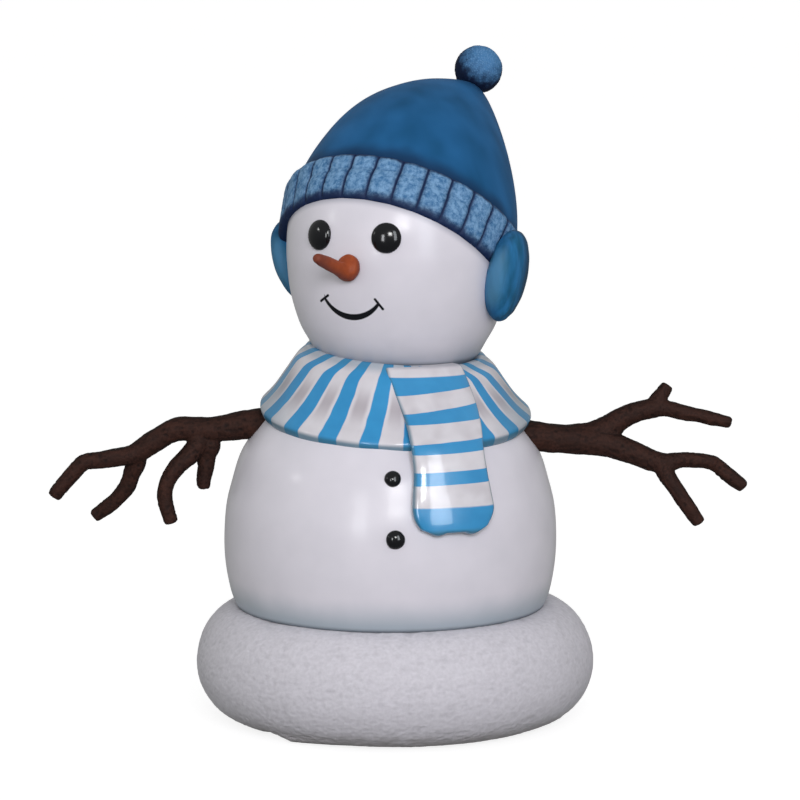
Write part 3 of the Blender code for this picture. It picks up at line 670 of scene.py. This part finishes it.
def flap_enamel():
    """Satin enamel brushed downwards in long strokes: teal and blue streaks. Painted light and shade: a
    paler front edge as if lit, a darker back, and a navy rim where the pad turns in towards the head.
    The lay gives share around and distance from the middle of the pad."""
    material, node, place = new_finish("brushed_enamel_flap", 0.55, specular=0.12)
    rim = node("SeparateXYZ", [node("UVMap lay")], "Y")
    stretched = node("Mapping", {"Vector": place, "Scale": (1.0, 1.0, 0.22)})
    strokes = node("TexNoise", sized(stretched, 16, 3.0))
    strokes = node("MapRange", between(strokes, 0.32, 0.66))
    base = node("Mix RGBA", {0: strokes, 6: "#1C5C7E", 7: "#2E78AE"}, 2)
    # Painted shade: navy towards the pad's rim
    base = blown(node, base, "#173250", rim, 0.66, 0.90, 0.0, 0.40)
    ahead = face_side(node, place, FACE_FRONT)
    # Painted light on the front edge, and painted shade on the back
    base = blown(node, base, "#5A92B5", ahead, 0.038, 0.060, 0.0, 0.5)
    base = blown(node, base, "#12304A", ahead, -0.020, 0.020, 0.70, 0.0)
    return painted(material, base, strokes, 0.2, 0.0012)


def striped_enamel(name, blue_mask, coat):
    """Gloss enamel under clear lacquer: sky-blue stripes brushed on white, with hard mirror-like lights.
    The collar's edges waver a little, as a brush leaves them."""
    material, node, place = new_finish(name, 0.26, coat=coat, specular=0.35)
    blue, edge_shade, patch = blue_mask(node, place, node("UVMap lay"))
    cloud = node("TexNoise", sized(place, 35, 2.0))
    white = node("Mix RGBA", {0: cloud, 6: "#CCC8CD", 7: "#E2E1E6"}, 2)
    # Grey on the white: a painted shade across the collar's middle; on the tail, patches at random
    white = node("Mix RGBA", {0: patch, 6: white, 7: "#ACA5AC"}, 2)
    sky = node("Mix RGBA", {0: cloud, 6: "#2A86BE", 7: "#379BD2"}, 2)
    paint = node("Mix RGBA", {0: blue, 6: white, 7: sky}, 2)
    # Painted shade in dark teal along the edges
    paint = node("Mix RGBA", {0: edge_shade, 6: paint, 7: "#3A7088"}, 2)
    peel = node("TexNoise", sized(place, 6, 1.0))
    return painted(material, paint, peel, 0.08, 0.0006)


def collar_stripes(node, place, lay):
    """Masks of the collar's blue, of its painted shade along the rim, the sides and the neck edge, and of
    the painted shade across the middle of its white. The lay gives stripes around and share down."""
    waver = node("TexNoise", sized(place, 30, 1.0))
    around = node("SeparateXYZ", [lay], "X")
    share = node("SeparateXYZ", [lay], "Y")
    count = node("Math MULTIPLY_ADD", [waver, 0.06, around])
    count = node("Math ADD", [count, 0.47])
    part = away(node, node("Math FRACT", [count]), 0.5)
    half = BLUE_SHARE / 2
    blue = node("MapRange", between(part, half - 0.012, half + 0.012, 1.0, 0.0))
    aside = node("Math ABSOLUTE", [node("SeparateXYZ", [place], "X")])
    # Painted shade along the rim, towards the left and right sides, and at the neck under the head
    edge_shade = node("MapRange SMOOTHSTEP", between(share, 0.985, 1.06, 0.0, 0.8))
    for shade in (between(aside, 0.155, 0.245, 0.0, 0.50), between(share, 0.00, 0.13, 0.45, 0.0)):
        edge_shade = node("Math MAXIMUM", [edge_shade, node("MapRange SMOOTHSTEP", shade)])
    # Painted shade across the middle of each white stripe
    inside = node("MapRange SMOOTHSTEP", between(part, 0.25, 0.38))
    middle = node("MapRange SMOOTHSTEP", between(away(node, share, 0.55), 0.00, 0.34, 0.80, 0.0))
    return blue, edge_shade, node("Math MULTIPLY", [inside, middle])


def tail_stripes(node, place, lay):
    """Masks of the tail's blue, of its painted shade along both side edges and the tip, and of grey patches
    that vary at random on its white. The lay gives share across and edges passed downwards."""
    across = node("SeparateXYZ", [lay], "X")
    passed = node("SeparateXYZ", [lay], "Y")
    half = node("Math MULTIPLY", [passed, 0.5])
    part = away(node, node("Math FRACT", [half]), 0.75)
    blue = node("MapRange", between(part, 0.242, 0.258, 1.0, 0.0))
    # Painted shade along both side edges and along the tip
    side = node("MapRange SMOOTHSTEP", between(away(node, across, 0.5), 0.445, 0.492, 0.0, 0.80))
    end = node("MapRange SMOOTHSTEP", between(passed, 9.28, 9.36, 0.0, 0.85))
    edge_shade = node("Math MAXIMUM", [side, end])
    patch = node("TexNoise", sized(place, 40, 1.0))
    return blue, edge_shade, node("MapRange", between(patch, 0.50, 0.75, 0.0, 0.35))


def black_enamel():
    """Gloss black enamel, poured on thick: small bright lights with soft rims lie on it."""
    material, node, place = new_finish("poured_black_enamel", 0.13, specular=0.36)
    dust = node("TexNoise", sized(place, 4, 3.0))
    paint = node("Mix RGBA", {0: dust, 6: "#07080C", 7: "#101117"}, 2)
    ripple = node("TexNoise", sized(place, 14, 0.0))
    return painted(material, paint, ripple, 0.05, 0.0008)


def carrot_enamel():
    """Satin enamel: burnt orange, browner towards the tip, with painted shade underneath and at the foot
    where it meets the face. The lay gives share around and share of the way to the tip."""
    material, node, place = new_finish("brushed_enamel_carrot", 0.55, specular=0.15)
    along = node("SeparateXYZ", [node("UVMap lay")], "Y")
    cloud = node("TexNoise", sized(place, 9, 3.0))
    base = node("Mix RGBA", {0: cloud, 6: "#843A20", 7: "#AA522A"}, 2)
    upward = node("SeparateXYZ", [node("NewGeometry", [], "Normal")], "Z")
    # Painted shade on the underside
    base = blown(node, base, "#6A3B35", upward, -0.95, -0.1, 0.55, 0.0)
    # Painted shade at the foot, against the face
    base = blown(node, base, "#7E3F2F", along, 0.0, 0.075, 0.75, 0.0)
    base = blown(node, base, "#6E3A30", along, 0.45, 0.95, 0.0, 0.75)
    return painted(material, base, cloud, 0.4, 0.0010)


def bark_paint():
    """Cast resin bark, stained dark brown and dry-brushed: near-black furrows, red-brown ridges, a dull
    sheen. As painted light, the ridges are lighter on the sticks' fronts and backs, and the tops and
    undersides of the sticks stay darker as painted shade."""
    material, node, place = new_finish("stained_resin_bark", 0.7, specular=0.1)
    relief = node("Attribute relief", [], "Fac")
    patch = node("TexNoise", sized(place, 30, 3.0))
    fine = node("TexNoise", sized(place, 4, 3.0))
    ridge = node("Mix RGBA", {0: patch, 6: "#2A1C18", 7: "#472A21"}, 2)
    lift = node("Math MULTIPLY_ADD", [fine, 0.5, relief])
    tops = node("MapRange", between(lift, 0.45, 1.05))
    # Painted light: ridges lighter where a stick faces front or back, darker on its tops and undersides
    facing = node("SeparateXYZ", [node("TexCoord", [], "Normal")], "Y")
    facing = node("Math ABSOLUTE", [facing])
    brushed = node("MapRange SMOOTHSTEP", between(facing, 0.15, 0.85, 0.30, 1.0))
    tops = node("Math MULTIPLY", [tops, brushed])
    paint = node("Mix RGBA", {0: tops, 6: "#120B0A", 7: ridge}, 2)
    return painted(material, paint, fine, 0.7, 0.0015)


# Pieces

def store_relief(piece, values):
    """Keeps a height from 0 to 1 at each point, for the paint to follow."""
    layer = piece.data.attributes.new("relief", "FLOAT", "POINT")
    full = np.zeros(len(piece.data.vertices), dtype=np.float32)
    flat = np.asarray(values, dtype=np.float32).ravel()
    full[:len(flat)] = flat
    layer.data.foreach_set("value", full)


def make_drift():
    """The drift: two quarter ovals around a flat foot and a seat, under a coat in short dabbed ridges."""
    quarter = np.linspace(0, math.pi / 2, 40)
    lower = np.column_stack([
        BASE_FOOT_RADIUS + (BASE_RADIUS - BASE_FOOT_RADIUS) * np.sin(quarter),
        BASE_WIDEST_Z * (1 - np.cos(quarter)),
    ])
    upper = np.column_stack([
        BASE_SEAT_RADIUS + (BASE_RADIUS - BASE_SEAT_RADIUS) * np.cos(quarter),
        BASE_WIDEST_Z + (BASE_TOP_Z - BASE_WIDEST_Z) * np.sin(quarter),
    ])
    profile = evenly(np.vstack([lower, upper[1:]]), 0.0027)
    grid, lay = turned_grid(profile, 0.0, 800)
    ridges = 1 - np.abs(lumps(grid * (0.6, 0.6, 1.2), 0.0100, 3.0)) * 2.2
    dabs = lumps(grid * (0.8, 0.8, 1.2), 0.0060, 11.0)
    swells = lumps(grid, 0.0700, 5.0)
    relief = 0.6 * ridges + 0.6 * dabs
    rough = np.interp(grid[..., 2], [0.015, 0.060], [1.3, 0.65])
    coat = DRIFT_RELIEF * relief * rough + DRIFT_SWELL * swells
    coat *= np.clip(grid[..., 2] / 0.012, 0.15, 1.0)
    grid = raised(grid, coat)
    grid[..., 2] = np.maximum(grid[..., 2], 0.0)
    grid[0, :, 2] = 0.0
    turns = np.degrees(np.arctan2(grid[..., 0], -grid[..., 1]))
    low = np.clip(1 - grid[..., 2] / CHIP_HEIGHT, 0, 1)
    spread = FOOT_SPREAD * low ** 2 * np.interp(turns, [-43.0, -37.0, -16.0], [0.0, 1.0, 0.0])
    grid[..., :2] *= (1 + spread / FOOT_RADIUS)[..., None]
    grid[..., 2] += CHIP_LIFT * low * np.interp(turns, [-53.5, -50.5, -46.0, -41.0], [0.0, 1.0, 0.8, 0.0])
    drift = surface("snow_base_coat", grid, lay, closed=True)
    store_relief(drift, 0.5 + 0.6 * relief)
    settle(drift, stippled_coat(), "snow_stipple", "snow_base")


def make_body():
    """The body, flat along its lower edge, where it meets the drift."""
    profile = evenly(curve_through(BODY_OUTLINE, 10), 0.006)
    grid, lay = turned_grid(profile, BODY_X, 220)
    grid = raised(grid, BODY_RIPPLE * lumps(grid, 0.110, 2.0))
    grid[0, :, 2] = profile[0, 1]
    body = surface("body_gelcoat", grid, lay, closed=True)
    paint = gelcoat("polished_gelcoat_body", BASE_TOP_Z, 0.070, "#A6B2BB")
    settle(body, paint, "snow_gloss", "body")


def make_head():
    """The head, cut off inside the hat."""
    profile = evenly(curve_through(HEAD_OUTLINE, 10), 0.005)
    grid, lay = turned_grid(profile, HEAD_X, 200)
    grid = raised(grid, HEAD_RIPPLE * lumps(grid, 0.090, 7.0))
    head = surface("head_gelcoat", grid, lay, closed=True)
    bm = bmesh.new()
    bm.from_mesh(head.data)
    geometry = bm.verts[:] + bm.edges[:] + bm.faces[:]
    bmesh.ops.bisect_plane(
        bm, geom=geometry, plane_co=HAT_CENTRE, plane_no=hat_axes()[2], clear_outer=True, dist=1e-6)
    bmesh.ops.edgeloop_fill(bm, edges=[edge for edge in bm.edges if edge.is_boundary])
    bmesh.ops.recalc_face_normals(bm, faces=bm.faces)
    bm.to_mesh(head.data)
    bm.free()
    paint = gelcoat("polished_gelcoat_head", 0.650, 0.050, "#A9ADB8", face_marks)
    settle(head, paint, "snow_gloss", "head")


def make_eyes_and_buttons():
    """Flat domes that stand square to the head and to the body."""
    paint = black_enamel()
    radii = (EYE_RADIUS, EYE_RADIUS * EYE_TALL, EYE_DEPTH)
    for name, side in (("eye_left", 1), ("eye_right", -1)):
        point, outwards = spot_on(HEAD_OUTLINE, HEAD_X, -(FACE_TURN + side * EYE_TURN), EYE_Z)
        grid, lay = dome_grid(radii, point, axes_towards(outwards), 40, 64)
        settle(surface(name + "_dome", grid, lay, closed=True), paint, "black_gloss", name)
    for name, (turn, z, radius) in BUTTONS.items():
        point, outwards = spot_on(BODY_OUTLINE, BODY_X, turn, z)
        grid, lay = dome_grid((radius, radius, BUTTON_DEPTH), point, axes_towards(outwards), 30, 56)
        grid = raised(grid, BUTTON_RIPPLE * lumps(grid, 0.012, 4.0))
        settle(surface(name + "_dome", grid, lay, closed=True), paint, "black_gloss", name)


def make_nose():
    """The carrot: rings from a rounded foot to a blunt tip, sagging a little near the foot."""
    foot, outwards = spot_on(HEAD_OUTLINE, HEAD_X, -NOSE_TURN, NOSE_Z)
    stretch = NOSE_LENGTH / (NOSE_STATIONS[-1][0] * NOSE_BALL)
    basis = axes_towards(NOSE_POINTS)
    turns = full_turn(56)
    local = np.column_stack([np.cos(turns), NOSE_TALL * np.sin(turns), np.zeros_like(turns)])
    stations = curve_through(NOSE_STATIONS + [(3.93, 0.08, 0.0)], 8)
    rings = []
    for along, girth, sag in stations:
        reach = along * NOSE_BALL * (stretch if along > 0 else 1.0)
        centre = foot + outwards * NOSE_LIFT + NOSE_POINTS * reach - Vector((0.0, 0.0, NOSE_SAG * sag))
        rings.append(local @ np.array(basis).T * girth * NOSE_BALL + np.array(centre))
    grid = np.array(rings)
    grid = raised(grid, NOSE_RIPPLE * lumps(grid, 0.013, 9.0))
    lay = lay_around(len(turns), np.clip(stations[:, 0] / NOSE_STATIONS[-1][0], 0, 1))
    settle(surface("nose_carrot", grid, lay, closed=True), carrot_enamel(), "carrot", "nose")


def make_crown():
    """The hat's dome, leaning over towards its pompom, with soft upright folds in its knit."""
    along, around = CROWN_POWERS
    share = 1 - np.linspace(1, 0.003 ** 0.5, 110) ** 2
    turns = full_turn(260)
    dome = CROWN_RADIUS * (1 - share ** along) ** (1 / around)
    radius = np.minimum(dome, CROWN_FOOT_RADIUS + CROWN_FLARE * share)
    lean = CROWN_TIP_RIGHT * share ** 5 - CROWN_BULGE_LEFT * share ** 2
    grid = hat_grid(turns[None, :], radius[:, None], (CROWN_HEIGHT * share)[:, None], lean[:, None])
    rolled = np.stack(np.broadcast_arrays(
        4.0 * np.cos(turns)[None, :], 4.0 * np.sin(turns)[None, :], 1.6 * share[:, None]), axis=2)
    folds = lumps(rolled, 1.0, 6.0) * np.clip(radius / CROWN_RADIUS, 0, 1)[:, None]
    grid = raised(grid, KNIT_FOLD * folds)
    lay = lay_around(len(turns), share)
    settle(surface("hat_crown_knit", grid, lay, closed=True), hat_enamel(), "hat_blue", "hat_crown")


def make_cuff():
    """The turned-up cuff: crowned ribs with a narrow groove between each two, over a rounded roll."""
    per_rib = 18
    turns = full_turn(CUFF_RIBS * per_rib)
    on_rib = (turns / (2 * math.pi) * CUFF_RIBS) % 1.0
    to_groove = np.minimum(on_rib, 1 - on_rib)
    groove = np.clip(1 - to_groove / RIB_GROOVE_HALF_SHARE, 0, 1) ** 1.3
    crowned = RIB_CROWN * (1 - (2 * on_rib - 1) ** 2)
    swell = 0.5 * (CUFF_RIM_RADIUS + CUFF_TOP_RADIUS) + 0.005
    # Rows of radius, share of the way up, and least gap to the forehead
    outline = curve_through([
        (CUFF_RIM_RADIUS - 0.0200, -0.020, -0.0120),
        (CUFF_RIM_RADIUS - 0.0070, -0.060, -0.0040),
        (CUFF_RIM_RADIUS + 0.0010, -0.045, 0.0018),
        (CUFF_RIM_RADIUS + 0.0045, 0.010, 0.0046),
        (CUFF_RIM_RADIUS + 0.0060, 0.120, 0.0062),
        (swell, 0.500, 0.0060),
        (CUFF_TOP_RADIUS + 0.0020, 0.800, -0.0050),
        (CUFF_TOP_RADIUS - 0.0010, 0.930, -0.0300),
        (CUFF_TOP_RADIUS - 0.0090, 1.000, -0.0600),
        (CUFF_TOP_RADIUS - 0.0200, 0.985, -0.0800),
    ], 8)
    outline = evenly(outline * (1.0, CUFF_WIDTH, 1.0), 0.0022) / (1.0, CUFF_WIDTH, 1.0)
    share = outline[:, 1]
    forehead = head_reach(turns[None, :], (CUFF_WIDTH * share)[:, None]) + outline[:, 2][:, None]
    fade = np.clip((share + 0.05) / 0.06, 0, 1) * np.clip((1.0 - share) / 0.05, 0, 1)
    radius = np.maximum(outline[:, 0][:, None], forehead)
    radius = radius + crowned[None, :] - RIB_GROOVE * groove[None, :] * fade[:, None]
    grid = hat_grid(turns[None, :], radius, (CUFF_WIDTH * share)[:, None])
    knit = lumps(grid, 0.0065, 8.0) + 0.5 * lumps(grid, 0.0035, 2.0)
    grid = raised(grid, RIB_KNIT * knit * fade[:, None])
    lay = lay_around(len(turns), share, CUFF_RIBS)
    settle(surface("hat_cuff_ribs", grid, lay), cuff_enamel(), "hat_blue", "hat_cuff")


def make_pompom():
    """The ball on the hat, with pebbled skin."""
    bm = bmesh.new()
    bmesh.ops.create_icosphere(bm, subdivisions=7, radius=1.0)
    directions = np.array([v.co[:] for v in bm.verts])
    grains = pebbles(directions * POMPOM_RADIUS, 0.0038, 4.0)
    size = POMPOM_RADIUS + POMPOM_PEBBLE * (grains - 0.6) + POMPOM_SWELL * lumps(directions, 0.30, 1.0)
    for vertex, direction, reach in zip(bm.verts, directions, size):
        vertex.co = Vector(direction * reach) + POMPOM_CENTRE
    pompom = finished("pompom_pebbles", mesh_from("pompom_pebbles", bm))
    store_relief(pompom, grains)
    settle(pompom, pompom_enamel(), "hat_blue", "pompom")


def make_flaps():
    """The two ear pads, each leaning over with its side of the head."""
    paint = flap_enamel()
    for name, (side, reach, z, tall, tip) in FLAPS.items():
        level = Vector((side * math.cos(FACE_TURN), -side * math.sin(FACE_TURN), 0.0))
        outwards = level * math.cos(tip) - Vector((0.0, 0.0, math.sin(tip)))
        centre = Vector((HEAD_X, 0.0, z)) + level * reach
        grid, lay = dome_grid((FLAP_WIDE, tall, FLAP_THICK), centre, axes_towards(outwards), 70, 120)
        grid = raised(grid, PAD_STROKES * lumps(grid * (1.0, 1.0, 0.25), 0.0120, 5.0))
        flap = surface(name + "_pad", grid, 1 - np.abs(2 * lay - 1), closed=True)
        settle(flap, paint, "hat_blue", name)


def collar_z(turns, share):
    """Height of the collar's surface at a turn and a share of the way from neck edge to rim."""
    top, rim = (level + back * np.cos(turns) + side * np.sin(turns)
                for level, back, side in (COLLAR_NECK, COLLAR_RIM))
    return top + (rim - top) * share


def stripe_count(turns, share):
    """How many stripe middles lie between the first one and each point of the collar."""
    blend = np.clip((share - 0.06) / (1.0 - 0.06), 0, 1)
    counts = np.empty(np.broadcast(turns, share).shape)
    for row in range(counts.shape[0]):
        middles = np.array(STRIPES_AT_NECK) * (1 - blend[row, 0]) + np.array(STRIPES_AT_RIM) * blend[row, 0]
        behind = np.linspace(middles[-1], middles[0] + 360, STRIPES_BEHIND + 2)[1:]
        middles = np.concatenate([[behind[-2] - 360], middles, behind])
        rolled = 11.0 * max(0.0, 1 - share[row, 0] / 0.24) ** 2
        degrees = np.degrees(turns[0]) + rolled * np.sin(turns[0])
        counts[row] = np.interp(degrees, middles, np.arange(len(middles)) - 1)
    return counts


def make_collar():
    """The striped collar: a flared band with a rounded rim, its inner side tucked against the body."""
    start = math.radians(STRIPES_AT_RIM[0])
    columns = 300
    lip = [(0.1330, 0.10), (0.1430, -0.01), (0.1560, -0.03)]
    outline = curve_through(lip + COLLAR_OUTLINE + [(0.222, 1.10)], 8)
    outline = evenly(outline * (1.0, 0.10), 0.0025) / (1.0, 0.10)
    turns = start + np.linspace(0, 2 * math.pi, columns + 1)[None, :]
    share = outline[:, 1][:, None]
    grid = about_axis(COLLAR_X, outline[:, :1], turns, collar_z(turns, share))[:, :-1]
    grid = raised(grid, COLLAR_WAVE * lumps(grid * (1.0, 1.0, 0.6), 0.045, 3.0))
    counts = stripe_count(turns, np.broadcast_to(share, (len(outline), 1)))
    lay = np.stack([counts, np.broadcast_to(share, counts.shape)], axis=2)
    paint = striped_enamel("lacquered_enamel_collar", collar_stripes, 0.08)
    settle(surface("scarf_collar_stripes", grid, lay), paint, "scarf_blue", "scarf_collar")


def make_tail():
    """The hanging end: a thick band with round edges, laid over the collar's edge, with a two-lobed tip."""
    rows = curve_through(TAIL_ROWS[:-1] + [(0.3790, 8.8, 31.0, 0.3135)], 12)
    last = len(rows) - 1
    section = np.linspace(math.pi, 0, 60)
    aside = np.sign(np.cos(section)) * np.abs(np.cos(section)) ** TAIL_ROUNDNESS
    rise = np.abs(np.sin(section)) ** TAIL_ROUNDNESS
    share = 0.5 + 0.5 * aside
    front = []
    counts = []
    for k, (z, left, right, reach) in enumerate(rows):
        down = k / last
        past = max(0.0, down - 0.72) / 0.28
        end = math.sqrt(max(0.0, 1 - max(0.0, (down - 0.965) / 0.035) ** 2))
        start = math.sqrt(max(0.0, 1 - max(0.0, (0.03 - down) / 0.03) ** 2))
        turns = np.radians(left + (right - left) * share)
        height = z + TAIL_LOBE * np.cos(4 * math.pi * share) * past
        depth = reach - TAIL_THICKNESS * (1.35 - 1.35 * rise * end * start)
        front.append(about_axis(0.0, depth, turns, height))
        edges = np.outer(TAIL_STRIPES_LEFT, 1 - share) + np.outer(TAIL_STRIPES_RIGHT, share)
        # The added first and last heights lie above and below the whole tail
        passed = zip(height, edges.T)
        counts.append([np.interp(-level, [-0.70, *-column, -0.30], range(11)) for level, column in passed])
    grid = np.array(front)
    lay = np.stack([np.broadcast_to(share, grid.shape[:2]), np.array(counts)], axis=2)
    paint = striped_enamel("lacquered_enamel_tail", tail_stripes, 0.55)
    settle(surface("scarf_tail_stripes", grid, lay, around=False), paint, "scarf_blue", "scarf_tail")


def stick(points):
    """A round closed stick along a smooth path, with a blunt end."""
    path = curve_through(np.array(points) / 1000, 6)
    rings = []
    turns = full_turn(20)
    circle = np.column_stack([np.cos(turns), np.sin(turns), np.zeros_like(turns)])
    for i, row in enumerate(path):
        along = Vector(path[min(i + 1, len(path) - 1)][:3] - path[max(i - 1, 0)][:3]).normalized()
        basis = np.array(axes_towards(along, Vector((0.0, 1.0, 0.0))))
        rings.append(circle * row[3] @ basis.T + row[:3])
    return path, np.array(rings)


def make_arm(name, sticks, paint, nodes):
    """One arm: its sticks fused at the forks, then furrowed along the grain."""
    bm = bmesh.new()
    paths = []
    for points in sticks:
        path, rings = stick(points)
        paths.append(path)
        rows = [[bm.verts.new(p) for p in ring] for ring in rings]
        for here, there in zip(rows, rows[1:]):
            for i in range(len(here)):
                j = (i + 1) % len(here)
                bm.faces.new((here[i], here[j], there[j], there[i]))
        bm.faces.new(rows[0])
        bm.faces.new(rows[-1])
    bmesh.ops.recalc_face_normals(bm, faces=bm.faces)
    rough = placed(name + "_sticks", mesh_from(name + "_sticks", bm))
    fuse = rough.modifiers.new("fuse", "REMESH")
    fuse.mode = "VOXEL"
    fuse.voxel_size = FUSE_VOXEL
    ease = rough.modifiers.new("ease", "SMOOTH")
    ease.iterations = 34
    ease.factor = 0.5
    evaluated = rough.evaluated_get(bpy.context.evaluated_depsgraph_get())
    fused = bpy.data.meshes.new_from_object(evaluated)
    bpy.data.objects.remove(rough)
    relief = grow_bark(fused, paths)
    fused.name = name + "_bark"
    arm = finished(name + "_bark", fused)
    store_relief(arm, relief)
    settle(arm, paint, "bark", *nodes)


def grow_bark(mesh, paths):
    """Moves the points of a fused arm in furrows that follow each stick; returns their heights, 0 to 1."""
    samples = np.vstack(paths)
    tangents = np.vstack([np.gradient(path[:, :3], axis=0) for path in paths])
    tangents /= np.linalg.norm(tangents, axis=1, keepdims=True)
    tree = kdtree.KDTree(len(samples))
    for i, row in enumerate(samples):
        tree.insert(row[:3], i)
    tree.balance()
    places, normals = np.empty((2, len(mesh.vertices), 3))
    mesh.vertices.foreach_get("co", places.ravel())
    mesh.vertices.foreach_get("normal", normals.ravel())
    nearest = np.array([tree.find(p)[1] for p in places])
    grain = tangents[nearest]
    along = np.sum(places * grain, axis=1, keepdims=True)
    squeezed = places - grain * along * 0.75
    furrows = 1 - 2 * np.abs(lumps(squeezed, 0.0075, 2.0))
    knots = lumps(places, 0.024, 5.0)
    fine = lumps(squeezed, 0.0040, 8.0)
    height = 0.55 * furrows + 0.3 * fine
    places = places + normals * (BARK_SWELL + BARK_RELIEF * height + BARK_KNOT * knots)[:, None]
    mesh.vertices.foreach_set("co", places.ravel())
    mesh.update()
    return np.clip(0.5 + 0.5 * height, 0, 1)


def make_arms():
    """Both arms, each of which stands for all solids whose names start with its own."""
    paint = bark_paint()
    nodes = sorted(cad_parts)
    for side, sticks in (("left", LEFT_ARM), ("right", RIGHT_ARM)):
        named = [node for node in nodes if node.startswith("arm_" + side)]
        make_arm("arm_" + side, sticks, paint, named)


# Stage, lights and camera

def make_stage():
    """A plain pale floor, larger than any view of the figure."""
    bm = bmesh.new()
    bmesh.ops.create_circle(bm, cap_ends=True, segments=64, radius=60.0)
    floor = placed("floor", mesh_from("floor", bm))
    floor.location = (0.0, 0.0, -0.0005)
    material, node, place = new_finish("matt_paper_floor", 0.9, specular=0.1)
    fibre = node("TexNoise", sized(place, 400, 2.0))
    paper = node("Mix RGBA", {0: fibre, 6: "#949494", 7: "#989898"}, 2)
    sockets = material.node_tree.nodes["Principled BSDF"].inputs
    sockets["Emission Color"].default_value = (1.0, 1.0, 1.0, 1.0)
    sockets["Emission Strength"].default_value = 0.84
    floor.data.materials.append(painted(material, paper))
    floor.visible_diffuse = False
    floor.visible_glossy = False


def soft_light(name, place, aimed_at, width, height, watts, tint, mirrored, lighting):
    """A rectangular lamp, aimed at a height on the figure's axis. mirrored: gloss shows it; lighting: it
    lights matt paint."""
    lamp = bpy.data.lights.new(name, "AREA")
    lamp.shape = "RECTANGLE"
    lamp.size = width
    lamp.size_y = height
    lamp.energy = watts
    lamp.color = colour(tint)[:3]
    light = placed(name, lamp)
    light.location = place
    ray = Vector((0.0, 0.0, aimed_at)) - light.location
    light.rotation_euler = ray.to_track_quat("-Z", "Y").to_euler()
    light.visible_glossy = mirrored
    light.visible_diffuse = lighting


def make_lights():
    """A pale sky, and lamps that either light matt paint or show in gloss."""
    world = bpy.data.worlds.new("pale_room")
    world.use_nodes = True
    bpy.context.scene.world = world
    tree = world.node_tree
    background = tree.nodes["Background"]
    node = partial(add, tree)
    rise = node("SeparateXYZ", [node("TexCoord", [], "Generated")], "Z")
    sky = node("MapRange SMOOTHSTEP", between(rise, -0.5, 0.6, 0.28, 0.54))
    seen = node("LightPath", [], "Is Camera Ray")
    seen = node("Math MULTIPLY", [seen, 1.1])
    strength = node("Math MAXIMUM", [sky, seen])
    background.inputs["Color"].default_value = colour("#F8F9F7")
    tree.links.new(strength, background.inputs["Strength"])
    for lamp in (
        ("key", (0.75, -5.75, 2.75), 0.70, 3.4, 2.0, 212.0, "#FCF9FF", False, True),
        ("flash", (0.5, -5.8, 3.1), 0.70, 1.4, 1.15, 155.0, "#FFFFFF", True, False),
        ("doorway", (3.02, -5.40, 2.6), 0.60, 1.9, 4.2, 210.0, "#F4F9FF", True, False),
        ("window_left", (-2.15, -5.65, 1.6), 0.55, 0.9, 2.1, 88.0, "#FAFCFF", True, False),
        ("fill_left", (-5.6, -2.2, 2.2), 0.60, 1.8, 1.8, 15.0, "#FDFFF2", False, True),
        ("lamp_left", (-5.8, -1.3, 3.0), 0.85, 0.55, 0.55, 20.0, "#FFFFFF", True, False),
    ):
        soft_light(*lamp)


CAMERA_PLACE = (0.0, -6.64, 1.533)
CAMERA_DIP = math.radians(8.25)
FRAME_PIXELS = 800
FOCAL_PIXELS = 3750.0
FIGURE_MIDDLE_PIXEL = 395.0


def make_camera():
    """The camera that was fitted to the photograph."""
    data = bpy.data.cameras.new("camera")
    data.sensor_width = 36.0
    data.sensor_fit = "HORIZONTAL"
    data.lens = FOCAL_PIXELS * data.sensor_width / FRAME_PIXELS
    data.shift_x = (FRAME_PIXELS / 2 - FIGURE_MIDDLE_PIXEL) / FRAME_PIXELS
    camera = placed("camera", data)
    camera.location = CAMERA_PLACE
    camera.rotation_euler = (math.pi / 2 - CAMERA_DIP, 0.0, 0.0)
    bpy.context.scene.camera = camera
    # Plain sRGB output keeps the paints as strong as a snapshot does
    bpy.context.scene.view_settings.view_transform = "Standard"


for make in (
    make_camera, make_lights, make_stage, make_drift, make_body, make_head, make_eyes_and_buttons,
    make_nose, make_crown, make_cuff, make_pompom, make_flaps, make_collar, make_tail, make_arms,
):
    make()
